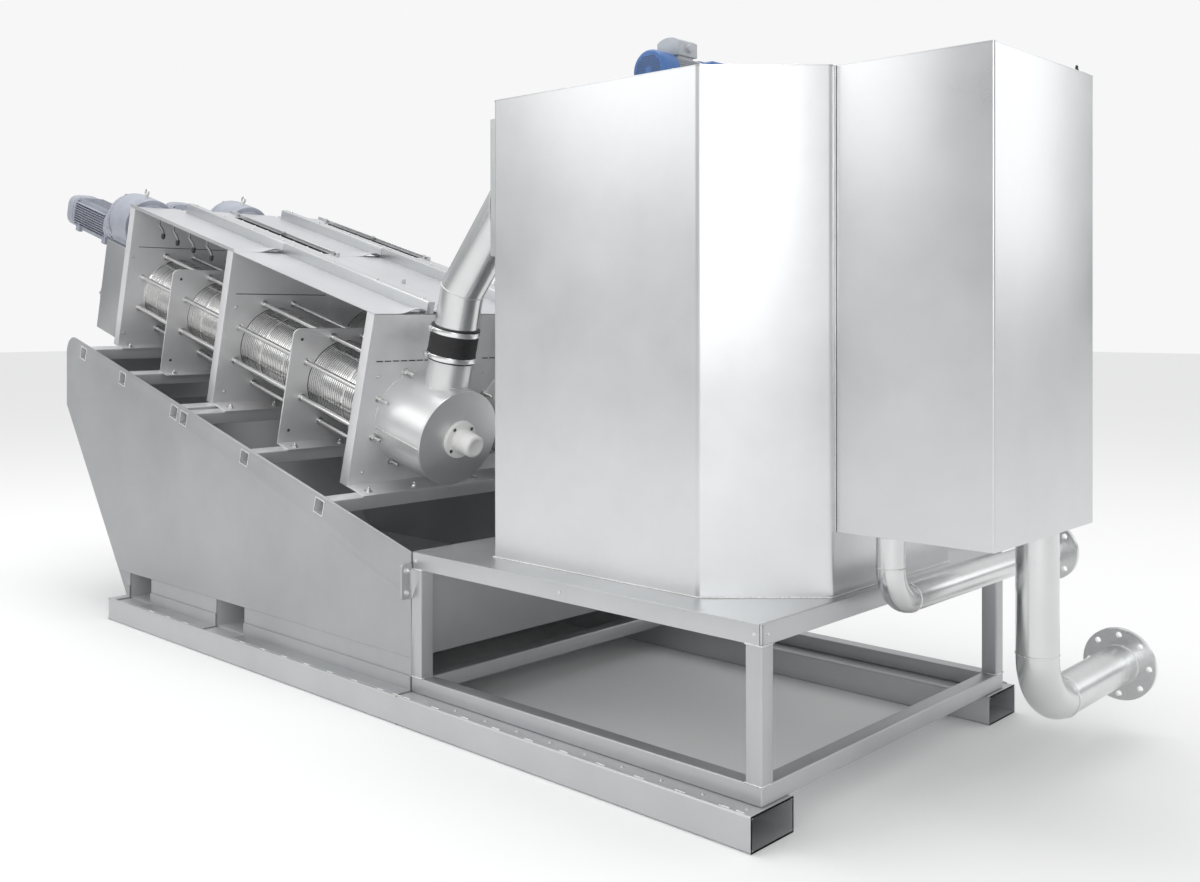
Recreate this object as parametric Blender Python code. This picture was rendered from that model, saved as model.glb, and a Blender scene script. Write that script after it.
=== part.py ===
"""Twin screw press on one skid: two inclined press units over a cake hopper, and their control tank in front.

The press is drawn in metres with +Z up. X is 0 at the skids' front end and grows forward, Y is 0 at the near
skid's outer face, and Z is 0 on the ground. At the end the whole plant is shifted, through one empty, so that
the bottom centre of its box is the world origin.
"""

import math

import bmesh
import bpy
from mathutils import Vector

# Base
BASE_WIDTH = 1.44
SKID_WIDTH = 0.18
SKID_HEIGHT = 0.09
SKID_WALL = 0.005
SKID_REAR_END = -3.325
SEAM = -1.3630
GAP = 0.0003

# Hopper
PLATE_Y = 0.060
PLATE_THICK = 0.004
FORK_POCKETS = ((-3.252, -3.069), (-2.553, -2.352))
POCKET_LOW = 0.0953
POCKET_HIGH = 0.196
FLOOR_LOW = 0.2013
FLOOR_HIGH = 0.2053
SLOPE = math.radians(15)
SLOPE_START = (-1.938, 0.667)
BEAM_CENTRES = (0.077, -0.422, -0.890, -0.969, -1.4275, -1.813)
BEAM_SIDE = 0.05
BEAM_WALL = 0.003
BEAM_NAMES = ("a", "b", "c", "d", "e", "f")

# Stand
STAND_FRONT = -0.0106
TUBE = 0.05
RAIL_TOP = 0.14
DECK_LOW = 0.481
DECK_HIGH = 0.534
DECK_SHEET = 0.003

# Press units, in their own tilted frame
UNIT_Y = (0.471, 0.969)
UNIT_NAMES = ("near", "far")
HALF_WIDTH = 0.2487
PLATE_X = (0.0, -0.968, -1.8275)
PLATE_FOOT = (0.105, 0.108, 0.0475)
PLATE_HEIGHT = 0.639
HALF_PLATE_X = (-0.466, -1.420)
HALF_PLATE_FOOT = (0.076, 0.060)
HALF_PLATE_HEIGHT = 0.460
WEB = 0.006
FLANGE = 0.045
AXIS_Z = 0.255
DRUM_RADIUS = 0.155
ROD_CIRCLE = 0.185
ROD_RADIUS = 0.008
CHAMBER_RADIUS = 0.175
CHAMBER_END = 0.267
NECK_X = 0.15
NECK_RADIUS = 0.078
NECK_TOP = 0.574
MITRE_Z = 0.771
COVER_Z = 0.6393
COVER_SHEET = 0.003
HOUSING_TOP = 0.450
MOTOR_Y = -0.128

# Control tank and level box
TANK_OUTLINE = (
    (-1.1036, 0.177),
    (-0.301, 0.177),
    (-0.040, 0.4195),
    (-0.040, 1.0675),
    (-0.301, 1.310),
    (-1.1036, 1.310),
)
TANK_TOP = 1.944
TANK_WALL = 0.004
OUTLET_REAR = -1.362
LEVEL_BOX = ((-0.0397, 0.4354, 0.708), (0.4044, 1.0496, 1.944))

# Pipes under the level box
DRAIN_X, DRAIN_Y, DRAIN_Z = 0.316, 0.885, 0.208
OVERFLOW_X, OVERFLOW_Y, OVERFLOW_Z = 0.0956, 0.487, 0.529
PIPE_END = 1.496

STEEL = ((0.62, 0.63, 0.64), 1.0, 0.38)
BRIGHT_STEEL = ((0.72, 0.73, 0.74), 1.0, 0.22)
GREY_PAINT = ((0.36, 0.40, 0.46), 0.0, 0.45)
BLUE_PAINT = ((0.05, 0.17, 0.42), 0.0, 0.40)
WHITE_PLASTIC = ((0.86, 0.86, 0.84), 0.0, 0.45)
RUBBER = ((0.03, 0.03, 0.03), 0.0, 0.70)

NODES = []


def clear_scene():
    for old in list(bpy.data.objects):
        bpy.data.objects.remove(old, do_unlink=True)


def empty(name, place=(0, 0, 0), turn=0.0, parent=None):
    """A frame for its children, turned about Y."""
    frame = bpy.data.objects.new(name, None)
    bpy.context.scene.collection.objects.link(frame)
    frame.location = place
    frame.rotation_euler = (0, turn, 0)
    frame.parent = parent
    return frame


def solid(name, corners, faces, parent, smooth=False):
    """A closed mesh with its faces turned outwards."""
    mesh = bpy.data.meshes.new(name)
    mesh.from_pydata([tuple(corner) for corner in corners], [], faces)
    body = bmesh.new()
    body.from_mesh(mesh)
    bmesh.ops.recalc_face_normals(body, faces=body.faces)
    body.to_mesh(mesh)
    body.free()
    if smooth:
        mesh.shade_smooth()
        mesh.set_sharp_from_angle(angle=math.radians(35))
    piece = bpy.data.objects.new(name, mesh)
    bpy.context.scene.collection.objects.link(piece)
    piece.parent = parent
    return piece


def prism(name, outline, low, high, axis, parent, smooth=False):
    """An outline pushed along one axis: X takes (y, z) points, Y takes (x, z) and Z takes (x, y)."""
    place = {
        "X": lambda a, b, along: (along, a, b),
        "Y": lambda a, b, along: (a, along, b),
        "Z": lambda a, b, along: (a, b, along),
    }[axis]
    count = len(outline)
    corners = [place(a, b, along) for along in (low, high) for a, b in outline]
    faces = [tuple(range(count)), tuple(range(count, 2 * count))]
    faces += [(i, (i + 1) % count, (i + 1) % count + count, i + count) for i in range(count)]
    return solid(name, corners, faces, parent, smooth)


def block(name, one, other, parent):
    """A box between two opposite corners."""
    (x0, x1), (y0, y1), (z0, z1) = (sorted(pair) for pair in zip(one, other))
    return prism(name, [(x0, y0), (x1, y0), (x1, y1), (x0, y1)], z0, z1, "Z", parent)


def circle(centre, radius, sides, first=0.0):
    steps = (first + 2 * math.pi * i / sides for i in range(sides))
    return [(centre[0] + radius * math.cos(a), centre[1] + radius * math.sin(a)) for a in steps]


def disc(name, centre, radius, low, high, axis, parent, sides=32):
    """A round bar along one axis."""
    return prism(name, circle(centre, radius, sides), low, high, axis, parent, smooth=True)


def rounded(points, radii, steps=5):
    """The outline with an arc at each corner that has a radius."""
    outline = []
    for i, (point, radius) in enumerate(zip(points, radii)):
        if not radius:
            outline.append(point)
            continue
        corner = Vector(point)
        back = (Vector(points[i - 1]) - corner).normalized()
        ahead = (Vector(points[(i + 1) % len(points)]) - corner).normalized()
        half = back.angle(ahead) / 2
        middle = corner + (back + ahead).normalized() * radius / math.sin(half)
        start = corner + back * radius / math.tan(half) - middle
        end = corner + ahead * radius / math.tan(half) - middle
        turn = math.atan2(start.x * end.y - start.y * end.x, start.dot(end))
        for step in range(steps + 1):
            a = turn * step / steps
            cos, sin = math.cos(a), math.sin(a)
            outline.append((middle.x + cos * start.x - sin * start.y, middle.y + sin * start.x + cos * start.y))
    return outline


def swept(name, stations, side, radius, parent, sides=32):
    """A round bar through rings, each given by its centre and its in-plane direction, stretched at a mitre."""
    side = Vector(side)
    corners = []
    for centre, across in stations:
        for a, b in circle((0, 0), radius, sides):
            corners.append(Vector(centre) + side * a + Vector(across) * b)
    faces = [tuple(range(sides)), tuple(range(len(corners) - sides, len(corners)))]
    for ring in range(len(stations) - 1):
        low = ring * sides
        for i in range(sides):
            j = (i + 1) % sides
            faces.append((low + i, low + j, low + j + sides, low + i + sides))
    return solid(name, corners, faces, parent, smooth=True)


def boolean(target, other, operation):
    other.hide_render = True
    other.display_type = "WIRE"
    change = target.modifiers.new(other.name, "BOOLEAN")
    change.operation = operation
    change.solver = "EXACT"
    change.object = other


def join(target, *pieces):
    for piece in pieces:
        boolean(target, piece, "UNION")


def cut(target, *cutters):
    for cutter in cutters:
        boolean(target, cutter, "DIFFERENCE")


def node(piece, finish):
    """Gives a sub-part its own material and lists it."""
    colour, metallic, roughness = finish
    paint = bpy.data.materials.new(piece.name)
    paint.use_nodes = True
    shader = paint.node_tree.nodes["Principled BSDF"]
    shader.inputs["Base Color"].default_value = (*colour, 1)
    shader.inputs["Metallic"].default_value = metallic
    shader.inputs["Roughness"].default_value = roughness
    piece.data.materials.append(paint)
    NODES.append(piece)
    return piece


def on_side(name, y):
    """A Y measured from the near skid's outer face, or mirrored from the far one's."""
    return y if name == "near" else BASE_WIDTH - y


def skid(name, side, rear, front, plant):
    """A rectangular hollow tube lying on the ground with open ends."""
    low, high = on_side(side, 0), on_side(side, SKID_WIDTH)
    inner = [on_side(side, SKID_WALL), on_side(side, SKID_WIDTH - SKID_WALL)]
    tube = block(name, (rear, low, 0), (front, high, SKID_HEIGHT), plant)
    bore = block(
        name + "_bore",
        (rear - 0.01, inner[0], SKID_WALL),
        (front + 0.01, inner[1], SKID_HEIGHT - SKID_WALL),
        plant,
    )
    cut(tube, bore)
    return node(tube, STEEL)


def slope_z(x, raised=0.0):
    """Height of the tilted line on which the press units stand, at a world X."""
    return SLOPE_START[1] - (x - SLOPE_START[0]) * math.tan(SLOPE) + raised / math.cos(SLOPE)


REAR_FOOT = (-3.293, 0.109)
REAR_KNEE = (-3.868, 0.878)


def rear_x(z):
    """The hopper's sloping rear edge."""
    share = (z - REAR_FOOT[1]) / (REAR_KNEE[1] - REAR_FOOT[1])
    return REAR_FOOT[0] + share * (REAR_KNEE[0] - REAR_FOOT[0])


def ear(name, side, x0, x1, inner, plant, notch=None):
    """A flat lug at the seam with two slotted holes, for the bolts that pull the two modules together."""
    low, high = 0.386, 0.499
    tip, root = on_side(side, 0.019), on_side(side, inner)
    points = [(tip, low), (root, low), (root, high), (tip, high)]
    radii = [0.012, 0, 0, 0.012]
    if notch:
        inset = on_side(side, PLATE_Y - GAP)
        points = [(tip, low), (root, low), (root, notch), (inset, notch), (inset, high), (tip, high)]
        radii = [0.012, 0, 0, 0, 0, 0.012]
    lug = prism(name, rounded(points, radii), x0, x1, "X", plant)
    for z in (0.477, 0.408):
        y0, y1 = on_side(side, 0.028), on_side(side, 0.050)
        slot = rounded([(y0, z - 0.005), (y1, z - 0.005), (y1, z + 0.005), (y0, z + 0.005)], [0.0045] * 4, 3)
        cut(lug, prism(f"{name}_slot_{round(z * 1000)}", slot, x0 - 0.01, x1 + 0.01, "X", plant))
    return lug


def foot_angle(name, side, x0, x1, plant):
    """The folded angle on which the side plate stands, lying on the skid."""
    foot = SKID_HEIGHT + GAP
    angle = [(0.006, foot), (0.062, foot), (0.062, foot + 0.05), (0.055, foot + 0.05), (0.055, foot + 0.005)]
    angle = [(on_side(side, y), z) for y, z in angle + [(0.006, foot + 0.005)]]
    return prism(name, angle, x0, x1, "X", plant)


def hopper_side(side, plant, slope):
    """A tall side plate above the fork windows, with its seam ear and the windows of the support beams."""
    rear, low = SEAM - GAP, POCKET_HIGH + GAP
    points = [
        (rear, low),
        (rear, slope_z(rear, 0.0195)),
        (REAR_KNEE[0], slope_z(REAR_KNEE[0], 0.0195)),
        REAR_KNEE,
        (rear_x(low), low),
    ]
    outer, inner = on_side(side, PLATE_Y), on_side(side, PLATE_Y + PLATE_THICK)
    name = f"hopper_side_{side}"
    outline = rounded(points, [0, 0, 0.07, 0, 0])
    plate = prism(name, outline, min(outer, inner), max(outer, inner), "Y", plant)
    join(plate, ear(f"{name}_ear", side, rear - 0.005, rear, 0.062, plant))
    past = [on_side(side, PLATE_Y - 0.03), on_side(side, PLATE_Y + 0.02)]
    for letter, x in zip(BEAM_NAMES, BEAM_CENTRES):
        reach = BEAM_SIDE / 2 + GAP
        window = block(
            f"{name}_window_{letter}",
            (x - reach, past[0], -BEAM_SIDE - GAP),
            (x + reach, past[1], GAP),
            slope,
        )
        cut(plate, window)
    return node(plate, STEEL)


def hopper_foot(side, where, x0, x1, plant):
    """The side plate's lower strip between two fork windows, with its foot angle."""
    name = f"hopper_foot_{where}_{side}"
    outer, inner = on_side(side, PLATE_Y), on_side(side, PLATE_Y + PLATE_THICK)
    strip = block(name, (x0, outer, SKID_HEIGHT + GAP), (x1, inner, POCKET_HIGH), plant)
    join(strip, foot_angle(name + "_angle", side, x0, x1, plant))
    return node(strip, STEEL)


def hopper_floor(plant):
    """The floor sheet, which lies just over the fork channels."""
    inner = PLATE_Y + PLATE_THICK + GAP
    sheet = block(
        "hopper_floor",
        (rear_x(FLOOR_LOW) + 0.0098, inner, FLOOR_LOW),
        (SEAM - 0.0047, BASE_WIDTH - inner, FLOOR_HIGH),
        plant,
    )
    return node(sheet, STEEL)


def fork_channel(end, x0, x1, plant):
    """A flat tube across the skids that takes one fork of a lift truck."""
    inner = PLATE_Y + PLATE_THICK + GAP
    walls = block(
        f"fork_channel_{end}",
        (x0 - 0.005, inner, SKID_HEIGHT + GAP),
        (x1 + 0.005, BASE_WIDTH - inner, FLOOR_LOW - GAP),
        plant,
    )
    cut(walls, block(f"fork_way_{end}", (x0, 0, POCKET_LOW), (x1, BASE_WIDTH, POCKET_HIGH), plant))
    return node(walls, STEEL)


def rear_foot(side, plant):
    """The side plate's last lower strip, behind the rear fork window, held by the rear wall's edge."""
    end = FORK_POCKETS[0][0]
    points = [
        REAR_FOOT,
        (-3.279, SKID_HEIGHT + GAP),
        (end, SKID_HEIGHT + GAP),
        (end, POCKET_HIGH),
        (rear_x(POCKET_HIGH), POCKET_HIGH),
    ]
    name = f"rear_foot_{side}"
    outer, inner = on_side(side, PLATE_Y), on_side(side, PLATE_Y + PLATE_THICK)
    strip = prism(name, points, min(outer, inner), max(outer, inner), "Y", plant)
    low, high = 0.115, 0.190
    weld = [(rear_x(low) + 0.002, low), (rear_x(low) + 0.012, low), (rear_x(high) + 0.012, high)]
    weld.append((rear_x(high) + 0.002, high))
    reach = sorted((on_side(side, PLATE_Y + 0.002), on_side(side, PLATE_Y + 0.0065)))
    angle = foot_angle(name + "_angle", side, -3.274, end, plant)
    return strip, angle, prism(name + "_weld", weld, *reach, "Y", plant)


def hopper_rear_wall(plant):
    """A folded sheet that follows the side plates' rear edge, 3 mm inside it, with the last foot strips on it."""
    inner = PLATE_Y + PLATE_THICK + GAP
    run = math.hypot(REAR_KNEE[0] - REAR_FOOT[0], REAR_KNEE[1] - REAR_FOOT[1])
    lean = run / (REAR_KNEE[1] - REAR_FOOT[1])
    outline = []
    for inset, knee_drop in ((0.003, 0.0), (0.007, 0.0013)):
        points = [
            (rear_x(0.112) + inset * lean, 0.112),
            (REAR_KNEE[0] + inset, REAR_KNEE[1] + 0.001 + knee_drop),
            (REAR_KNEE[0] + inset, 1.128),
        ]
        outline += points if not outline else points[::-1]
    wall = prism("hopper_rear_wall", outline, inner, BASE_WIDTH - inner, "Y", plant)
    for side in ("near", "far"):
        strip, angle, weld = rear_foot(side, plant)
        join(wall, weld, strip, angle)
    return node(wall, STEEL)


def hopper_front_wall(plant):
    inner = PLATE_Y + PLATE_THICK + GAP
    x1 = SEAM - GAP
    wall = block("hopper_front_wall", (x1 - 0.004, inner, 0.195), (x1, BASE_WIDTH - inner, 0.530), plant)
    return node(wall, STEEL)


def support_beam(letter, x, slope):
    """A square tube across the hopper, tilted with the units and flush with the side plates' outer faces."""
    half = BEAM_SIDE / 2
    name = f"support_beam_{letter}"
    tube = block(name, (x - half, PLATE_Y, -BEAM_SIDE), (x + half, BASE_WIDTH - PLATE_Y, 0), slope)
    thin = half - BEAM_WALL
    bore = block(name + "_bore", (x - thin, 0, -BEAM_SIDE + BEAM_WALL), (x + thin, BASE_WIDTH, -BEAM_WALL), slope)
    cut(tube, bore)
    return node(tube, STEEL)


def base(plant, slope):
    for side in ("near", "far"):
        skid(f"skid_rear_{side}", side, SKID_REAR_END, SEAM - GAP, plant)
        skid(f"skid_front_{side}", side, SEAM, 0, plant)
        hopper_side(side, plant, slope)
        hopper_foot(side, "mid", FORK_POCKETS[0][1], FORK_POCKETS[1][0], plant)
        hopper_foot(side, "front", FORK_POCKETS[1][1], SEAM - GAP, plant)
    for end, (x0, x1) in zip(("rear", "front"), FORK_POCKETS):
        fork_channel(end, x0, x1, plant)
    hopper_floor(plant)
    hopper_rear_wall(plant)
    hopper_front_wall(plant)
    for letter, x in zip(BEAM_NAMES, BEAM_CENTRES):
        support_beam(letter, x, slope)


def stand(plant):
    """A frame of square tube: lower ring, four posts, and the deck with its top ring."""
    foot = SKID_HEIGHT + GAP
    ring = block("stand_base", (SEAM, PLATE_Y, foot), (STAND_FRONT, BASE_WIDTH - PLATE_Y, RAIL_TOP), plant)
    room = block(
        "stand_base_room",
        (SEAM + TUBE, PLATE_Y + TUBE, foot - 0.05),
        (STAND_FRONT - TUBE, BASE_WIDTH - PLATE_Y - TUBE, RAIL_TOP + 0.05),
        plant,
    )
    cut(ring, room)
    node(ring, STEEL)
    ends = {"rear": (SEAM, SEAM + TUBE), "front": (STAND_FRONT - TUBE, STAND_FRONT)}
    for side in ("near", "far"):
        outer, inner = on_side(side, PLATE_Y), on_side(side, PLATE_Y + TUBE)
        for end, (x0, x1) in ends.items():
            post = block(f"stand_post_{end}_{side}", (x0, outer, RAIL_TOP + GAP), (x1, inner, DECK_LOW - GAP), plant)
            if end == "rear":
                join(post, ear(f"stand_ear_{side}", side, SEAM, SEAM + 0.005, 0.064, plant, DECK_LOW - GAP))
            node(post, STEEL)
    near, far = PLATE_Y, BASE_WIDTH - PLATE_Y
    corners = [(SEAM, near), (STAND_FRONT, near), (STAND_FRONT, far), (SEAM, far)]
    deck = prism("deck", rounded(corners, [0.012] * 4, 3), DECK_LOW, DECK_HIGH, "Z", plant)
    under = block(
        "deck_underside",
        (SEAM + TUBE, near + TUBE, DECK_LOW - 0.02),
        (STAND_FRONT - TUBE, far - TUBE, DECK_HIGH - DECK_SHEET),
        plant,
    )
    cut(deck, under)
    node(deck, STEEL)


def shrunk(outline, by):
    """The outline moved inwards, for a convex outline listed anticlockwise."""
    count = len(outline)
    lines = []
    for i in range(count):
        a, b = Vector(outline[i]), Vector(outline[(i + 1) % count])
        along = (b - a).normalized()
        lines.append((a + Vector((-along.y, along.x)) * by, along))
    points = []
    for i in range(count):
        (p, u), (q, v) = lines[i - 1], lines[i]
        t = ((q - p).x * v.y - (q - p).y * v.x) / (u.x * v.y - u.y * v.x)
        points.append(tuple(p + u * t))
    return points


def tank(plant):
    """The control tank with the head box welded on its rear, its lid, and the mixer drive on the lid."""
    low = DECK_HIGH + GAP
    shell = prism("tank_shell", TANK_OUTLINE, low, TANK_TOP, "Z", plant)
    room = prism("tank_room", shrunk(TANK_OUTLINE, TANK_WALL), low + TANK_WALL, TANK_TOP + 0.05, "Z", plant)
    wall = TANK_OUTLINE[0][0] + 0.002
    join(shell, block("outlet_box", (OUTLET_REAR, 0.390, 1.480), (wall, 1.050, 1.940), plant))
    cut(shell, room)
    node(shell, STEEL)
    node(prism("tank_lid", TANK_OUTLINE, TANK_TOP + GAP, TANK_TOP + GAP + 0.003, "Z", plant), STEEL)
    mixer_drive(plant)


def mixer_drive(plant):
    """A small gearmotor lying across the lid: foot, worm gear housing, motor, fan cover and terminal box."""
    x, z, top = -0.790, 2.052, TANK_TOP + 2 * GAP + 0.003
    foot = block("mixer_motor", (x - 0.085, 0.780, top), (x + 0.085, 0.930, top + 0.014), plant)
    gear = block("mixer_gear", (x - 0.062, 0.792, top + 0.005), (x + 0.062, 0.918, z + 0.062), plant)
    motor = disc("mixer_body", (x, z), 0.060, 0.615, 0.800, "Y", plant)
    cover = disc("mixer_cover", (x, z), 0.066, 0.545, 0.625, "Y", plant)
    terminals = block("mixer_terminals", (x - 0.045, 0.640, z + 0.040), (x + 0.045, 0.735, z + 0.118), plant)
    join(foot, gear, motor, cover, terminals)
    node(foot, BLUE_PAINT)


def level_box(plant):
    (x0, y0, z0), (x1, y1, z1) = LEVEL_BOX
    box = block("level_box", (x0, y0, z0), (x1, y1, z1), plant)
    wall = TANK_WALL
    cut(box, block("level_room", (x0 + wall, y0 + wall, z0 + wall), (x1 - wall, y1 - wall, z1 + 0.05), plant))
    node(box, STEEL)
    node(block("level_box_lid", (x0, y0, z1 + GAP), (x1, y1, z1 + GAP + 0.003), plant), STEEL)


def elbow_path(x, y, top, level, bend, end, steps=8):
    """Rings of a pipe that drops from the level box, turns and runs to the far side."""
    stations = [((x, y, top), (0, 1, 0))]
    for step in range(steps + 1):
        a = math.pi / 2 * step / steps
        place = (x, y + bend * (1 - math.cos(a)), level + bend * (1 - math.sin(a)))
        stations.append((place, (0, math.cos(a), math.sin(a))))
    stations.append(((x, end, level), (0, 0, 1)))
    return stations


def drain_pipe(name, x, y, level, radius, wall, bend, flange_radius, bolts, plant):
    """A bent pipe with a drilled flange at its far end."""
    top = LEVEL_BOX[0][2] - GAP
    pipe = swept(name, elbow_path(x, y, top, level, bend, PIPE_END - 0.002), (1, 0, 0), radius, plant)
    flange = disc(name + "_flange", (x, level), flange_radius, PIPE_END - 0.016, PIPE_END, "Y", plant, 48)
    join(pipe, flange)
    way = elbow_path(x, y, top + 0.02, level, bend, PIPE_END + 0.02)
    cut(pipe, swept(name + "_bore", way, (1, 0, 0), radius - wall, plant))
    count, bolt_circle = bolts
    for i in range(count):
        a = math.pi / 2 + 2 * math.pi * i / count
        if count == 4:
            a += math.pi / 4
        centre = (x + bolt_circle * math.cos(a), level + bolt_circle * math.sin(a))
        cut(pipe, disc(f"{name}_hole_{i}", centre, 0.009, PIPE_END - 0.05, PIPE_END + 0.05, "Y", plant, 12))
    return node(pipe, BRIGHT_STEEL)


def main_plate(name, x, foot_length, holes, unit):
    """A folded tray standing across the unit: web, flanges turned back, and a foot turned forward."""
    width, top = HALF_WIDTH, PLATE_HEIGHT
    plate = block(name, (x - WEB, -width, GAP), (x, width, top), unit)
    thick = 0.004
    near = block(name + "_flange_near", (x - FLANGE, -width, GAP), (x - 0.001, -width + thick, top), unit)
    far = block(name + "_flange_far", (x - FLANGE, width - thick, GAP), (x - 0.001, width, top), unit)
    high = block(name + "_flange_top", (x - FLANGE, -width, top - thick), (x - 0.001, width, top), unit)
    foot = block(name + "_foot", (x - 0.001, -width, GAP), (x + foot_length, width, GAP + 0.005), unit)
    join(plate, near, far, high, foot)
    if holes:
        drill(plate, x, unit)
    return node(plate, STEEL)


def half_plate(name, x, foot_length, unit):
    """A low cradle plate under and around the drum."""
    width, top = HALF_WIDTH, HALF_PLATE_HEIGHT
    outline = rounded([(-width, GAP), (width, GAP), (width, top), (-width, top)], [0, 0, 0.03, 0.03])
    plate = prism(name, outline, x - WEB, x, "X", unit)
    foot = block(name + "_foot", (x - 0.001, -width, GAP), (x + foot_length, width, GAP + 0.005), unit)
    join(plate, foot)
    drill(plate, x, unit)
    return node(plate, STEEL)


def rod_places():
    angles = (math.radians(22.5 + 45 * k) for k in range(8))
    return [(ROD_CIRCLE * math.cos(a), AXIS_Z + ROD_CIRCLE * math.sin(a)) for a in angles]


def drill(plate, x, unit):
    """Holes for the drum and the eight tie rods."""
    reach = (x - 0.05, x + 0.05)
    cut(plate, disc(plate.name + "_drum_hole", (0, AXIS_Z), DRUM_RADIUS + 0.0006, *reach, "X", unit, 48))
    for k, centre in enumerate(rod_places()):
        cut(plate, disc(f"{plate.name}_rod_hole_{k}", centre, ROD_RADIUS + 0.0006, *reach, "X", unit, 12))


def drum(name, unit):
    """The dewatering drum between the end plates, with its tie rods and its thin end rings."""
    front, rear = PLATE_X[0] - WEB - GAP, PLATE_X[2] + GAP
    body = disc(name, (0, AXIS_Z), DRUM_RADIUS, rear, front, "X", unit, 48)
    ring = 0.004
    for where, x in (("front", front - ring), ("rear", rear)):
        join(body, disc(f"{name}_ring_{where}", (0, AXIS_Z), 0.195, x, x + ring, "X", unit, 48))
    for k, centre in enumerate(rod_places()):
        join(body, disc(f"{name}_rod_{k}", centre, ROD_RADIUS, rear + 0.001, front - 0.001, "X", unit, 12))
    return node(body, BRIGHT_STEEL)


def inlet(side, unit):
    """The inlet chamber with its neck, and the bearing cap on its front."""
    chamber = disc(f"inlet_chamber_{side}", (0, AXIS_Z), CHAMBER_RADIUS, GAP, CHAMBER_END, "X", unit, 48)
    neck = disc(f"inlet_neck_{side}", (NECK_X, 0), NECK_RADIUS, AXIS_Z, NECK_TOP, "Z", unit)
    join(chamber, neck)
    node(chamber, STEEL)
    start = CHAMBER_END + GAP
    cap = disc(f"bearing_cap_{side}", (0, AXIS_Z), 0.0685, start, start + 0.015, "X", unit)
    join(cap, disc(f"bearing_nose_{side}", (0, AXIS_Z), 0.0415, start + 0.005, start + 0.095, "X", unit))
    node(cap, WHITE_PLASTIC)


def feed(side, y, unit, plant):
    """The rubber coupling on the neck and the mitred pipe from it up to the head box."""
    sleeve = disc(f"coupling_{side}", (NECK_X, 0), NECK_RADIUS + 0.010, 0.514, 0.636, "Z", unit)
    cut(sleeve, disc(f"coupling_bore_{side}", (NECK_X, 0), NECK_RADIUS + GAP, 0.5, 0.65, "Z", unit))
    node(sleeve, RUBBER)
    along = Vector((math.sin(SLOPE), 0, math.cos(SLOPE)))
    across = Vector((math.cos(SLOPE), 0, -math.sin(SLOPE)))
    foot = Vector((SLOPE_START[0], y, SLOPE_START[1])) + across * NECK_X
    rise = math.radians(50)
    upper = Vector((math.cos(rise), 0, math.sin(rise)))
    mitre = foot + along * MITRE_Z
    bisector = (along + upper).normalized()
    mitre_across = Vector((bisector.z, 0, -bisector.x)) / bisector.dot(along)
    end_x = OUTLET_REAR - GAP
    end = mitre + upper * (end_x - mitre.x) / upper.x
    stations = [
        (foot + along * (NECK_TOP + GAP), across),
        (mitre, mitre_across),
        (end, Vector((0, 0, -1)) / upper.x),
    ]
    return node(swept(f"feed_pipe_{side}", stations, (0, 1, 0), NECK_RADIUS, plant), BRIGHT_STEEL)


def cover(side, unit):
    """Thin sheets over the unit in two bays, held together by the raised rail along the middle."""
    low, high = COVER_Z, COVER_Z + COVER_SHEET
    width = HALF_WIDTH
    rail = block(f"cover_{side}", (-1.80, -0.020, low), (0.0, 0.015, 0.687), unit)
    bays = (("front", -0.969, 0.0), ("rear", -1.8725, -0.971))
    for bay, x0, x1 in bays:
        join(rail, block(f"cover_{side}_{bay}_near", (x0, -width, low), (x1, -0.010, high), unit))
        join(rail, block(f"cover_{side}_{bay}_far", (x0, 0.010, low), (x1, width, high), unit))
    lip = block(f"cover_{side}_lip", (-1.8725, width - 0.004, low), (-0.971, width, low + 0.015), unit)
    join(rail, lip)
    slot = block(f"cover_{side}_slot", (-1.840, 0.2037, low - 0.01), (-1.000, 0.2387, high + 0.03), unit)
    cut(rail, slot)
    return node(rail, STEEL)


def drive(side, unit):
    """The closed drive housing behind the rear plate, and the gearmotor bolted on its top."""
    rear = PLATE_X[2] - FLANGE - GAP
    width = HALF_WIDTH
    node(block(f"drive_housing_{side}", (-2.060, -width, 0.030), (rear, width, HOUSING_TOP), unit), STEEL)
    top = HOUSING_TOP + GAP
    y = MOTOR_Y
    foot = block(f"gearmotor_{side}", (-2.052, y - 0.100, top), (rear - 0.008, y + 0.100, top + 0.016), unit)
    arch = [(u, v) for u, v in circle((y, 0.550), 0.123, 40) if v > top + 0.006]
    arch.sort(key=lambda point: -math.atan2(point[1] - 0.50, point[0] - y))
    housing = prism(f"gear_housing_{side}", arch, -2.062, rear - 0.012, "X", unit, smooth=True)
    flange = disc(f"gear_flange_{side}", (y, 0.545), 0.125, -2.110, -2.0603, "X", unit, 40)
    bell = disc(f"gear_bell_{side}", (y, 0.500), 0.088, -2.190, -2.100, "X", unit)
    body = disc(f"motor_body_{side}", (y, 0.481), 0.076, -2.580, -2.180, "X", unit)
    cap = disc(f"motor_cap_{side}", (y, 0.481), 0.082, -2.630, -2.540, "X", unit)
    terminals = block(f"motor_terminals_{side}", (-2.42, y + 0.04, 0.441), (-2.30, y + 0.125, 0.521), unit)
    join(foot, housing, flange, bell, body, cap, terminals)
    node(foot, GREY_PAINT)


def press_unit(side, y, plant):
    unit = empty(f"unit_{side}", (SLOPE_START[0], y, SLOPE_START[1]), SLOPE, plant)
    for where, x, foot in zip(("front", "mid", "rear"), PLATE_X, PLATE_FOOT):
        main_plate(f"plate_{where}_{side}", x, foot, where == "mid", unit)
    for where, x, foot in zip(("front", "rear"), HALF_PLATE_X, HALF_PLATE_FOOT):
        half_plate(f"half_plate_{where}_{side}", x, foot, unit)
    drum(f"drum_{side}", unit)
    inlet(side, unit)
    feed(side, y, unit, plant)
    cover(side, unit)
    drive(side, unit)


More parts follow.
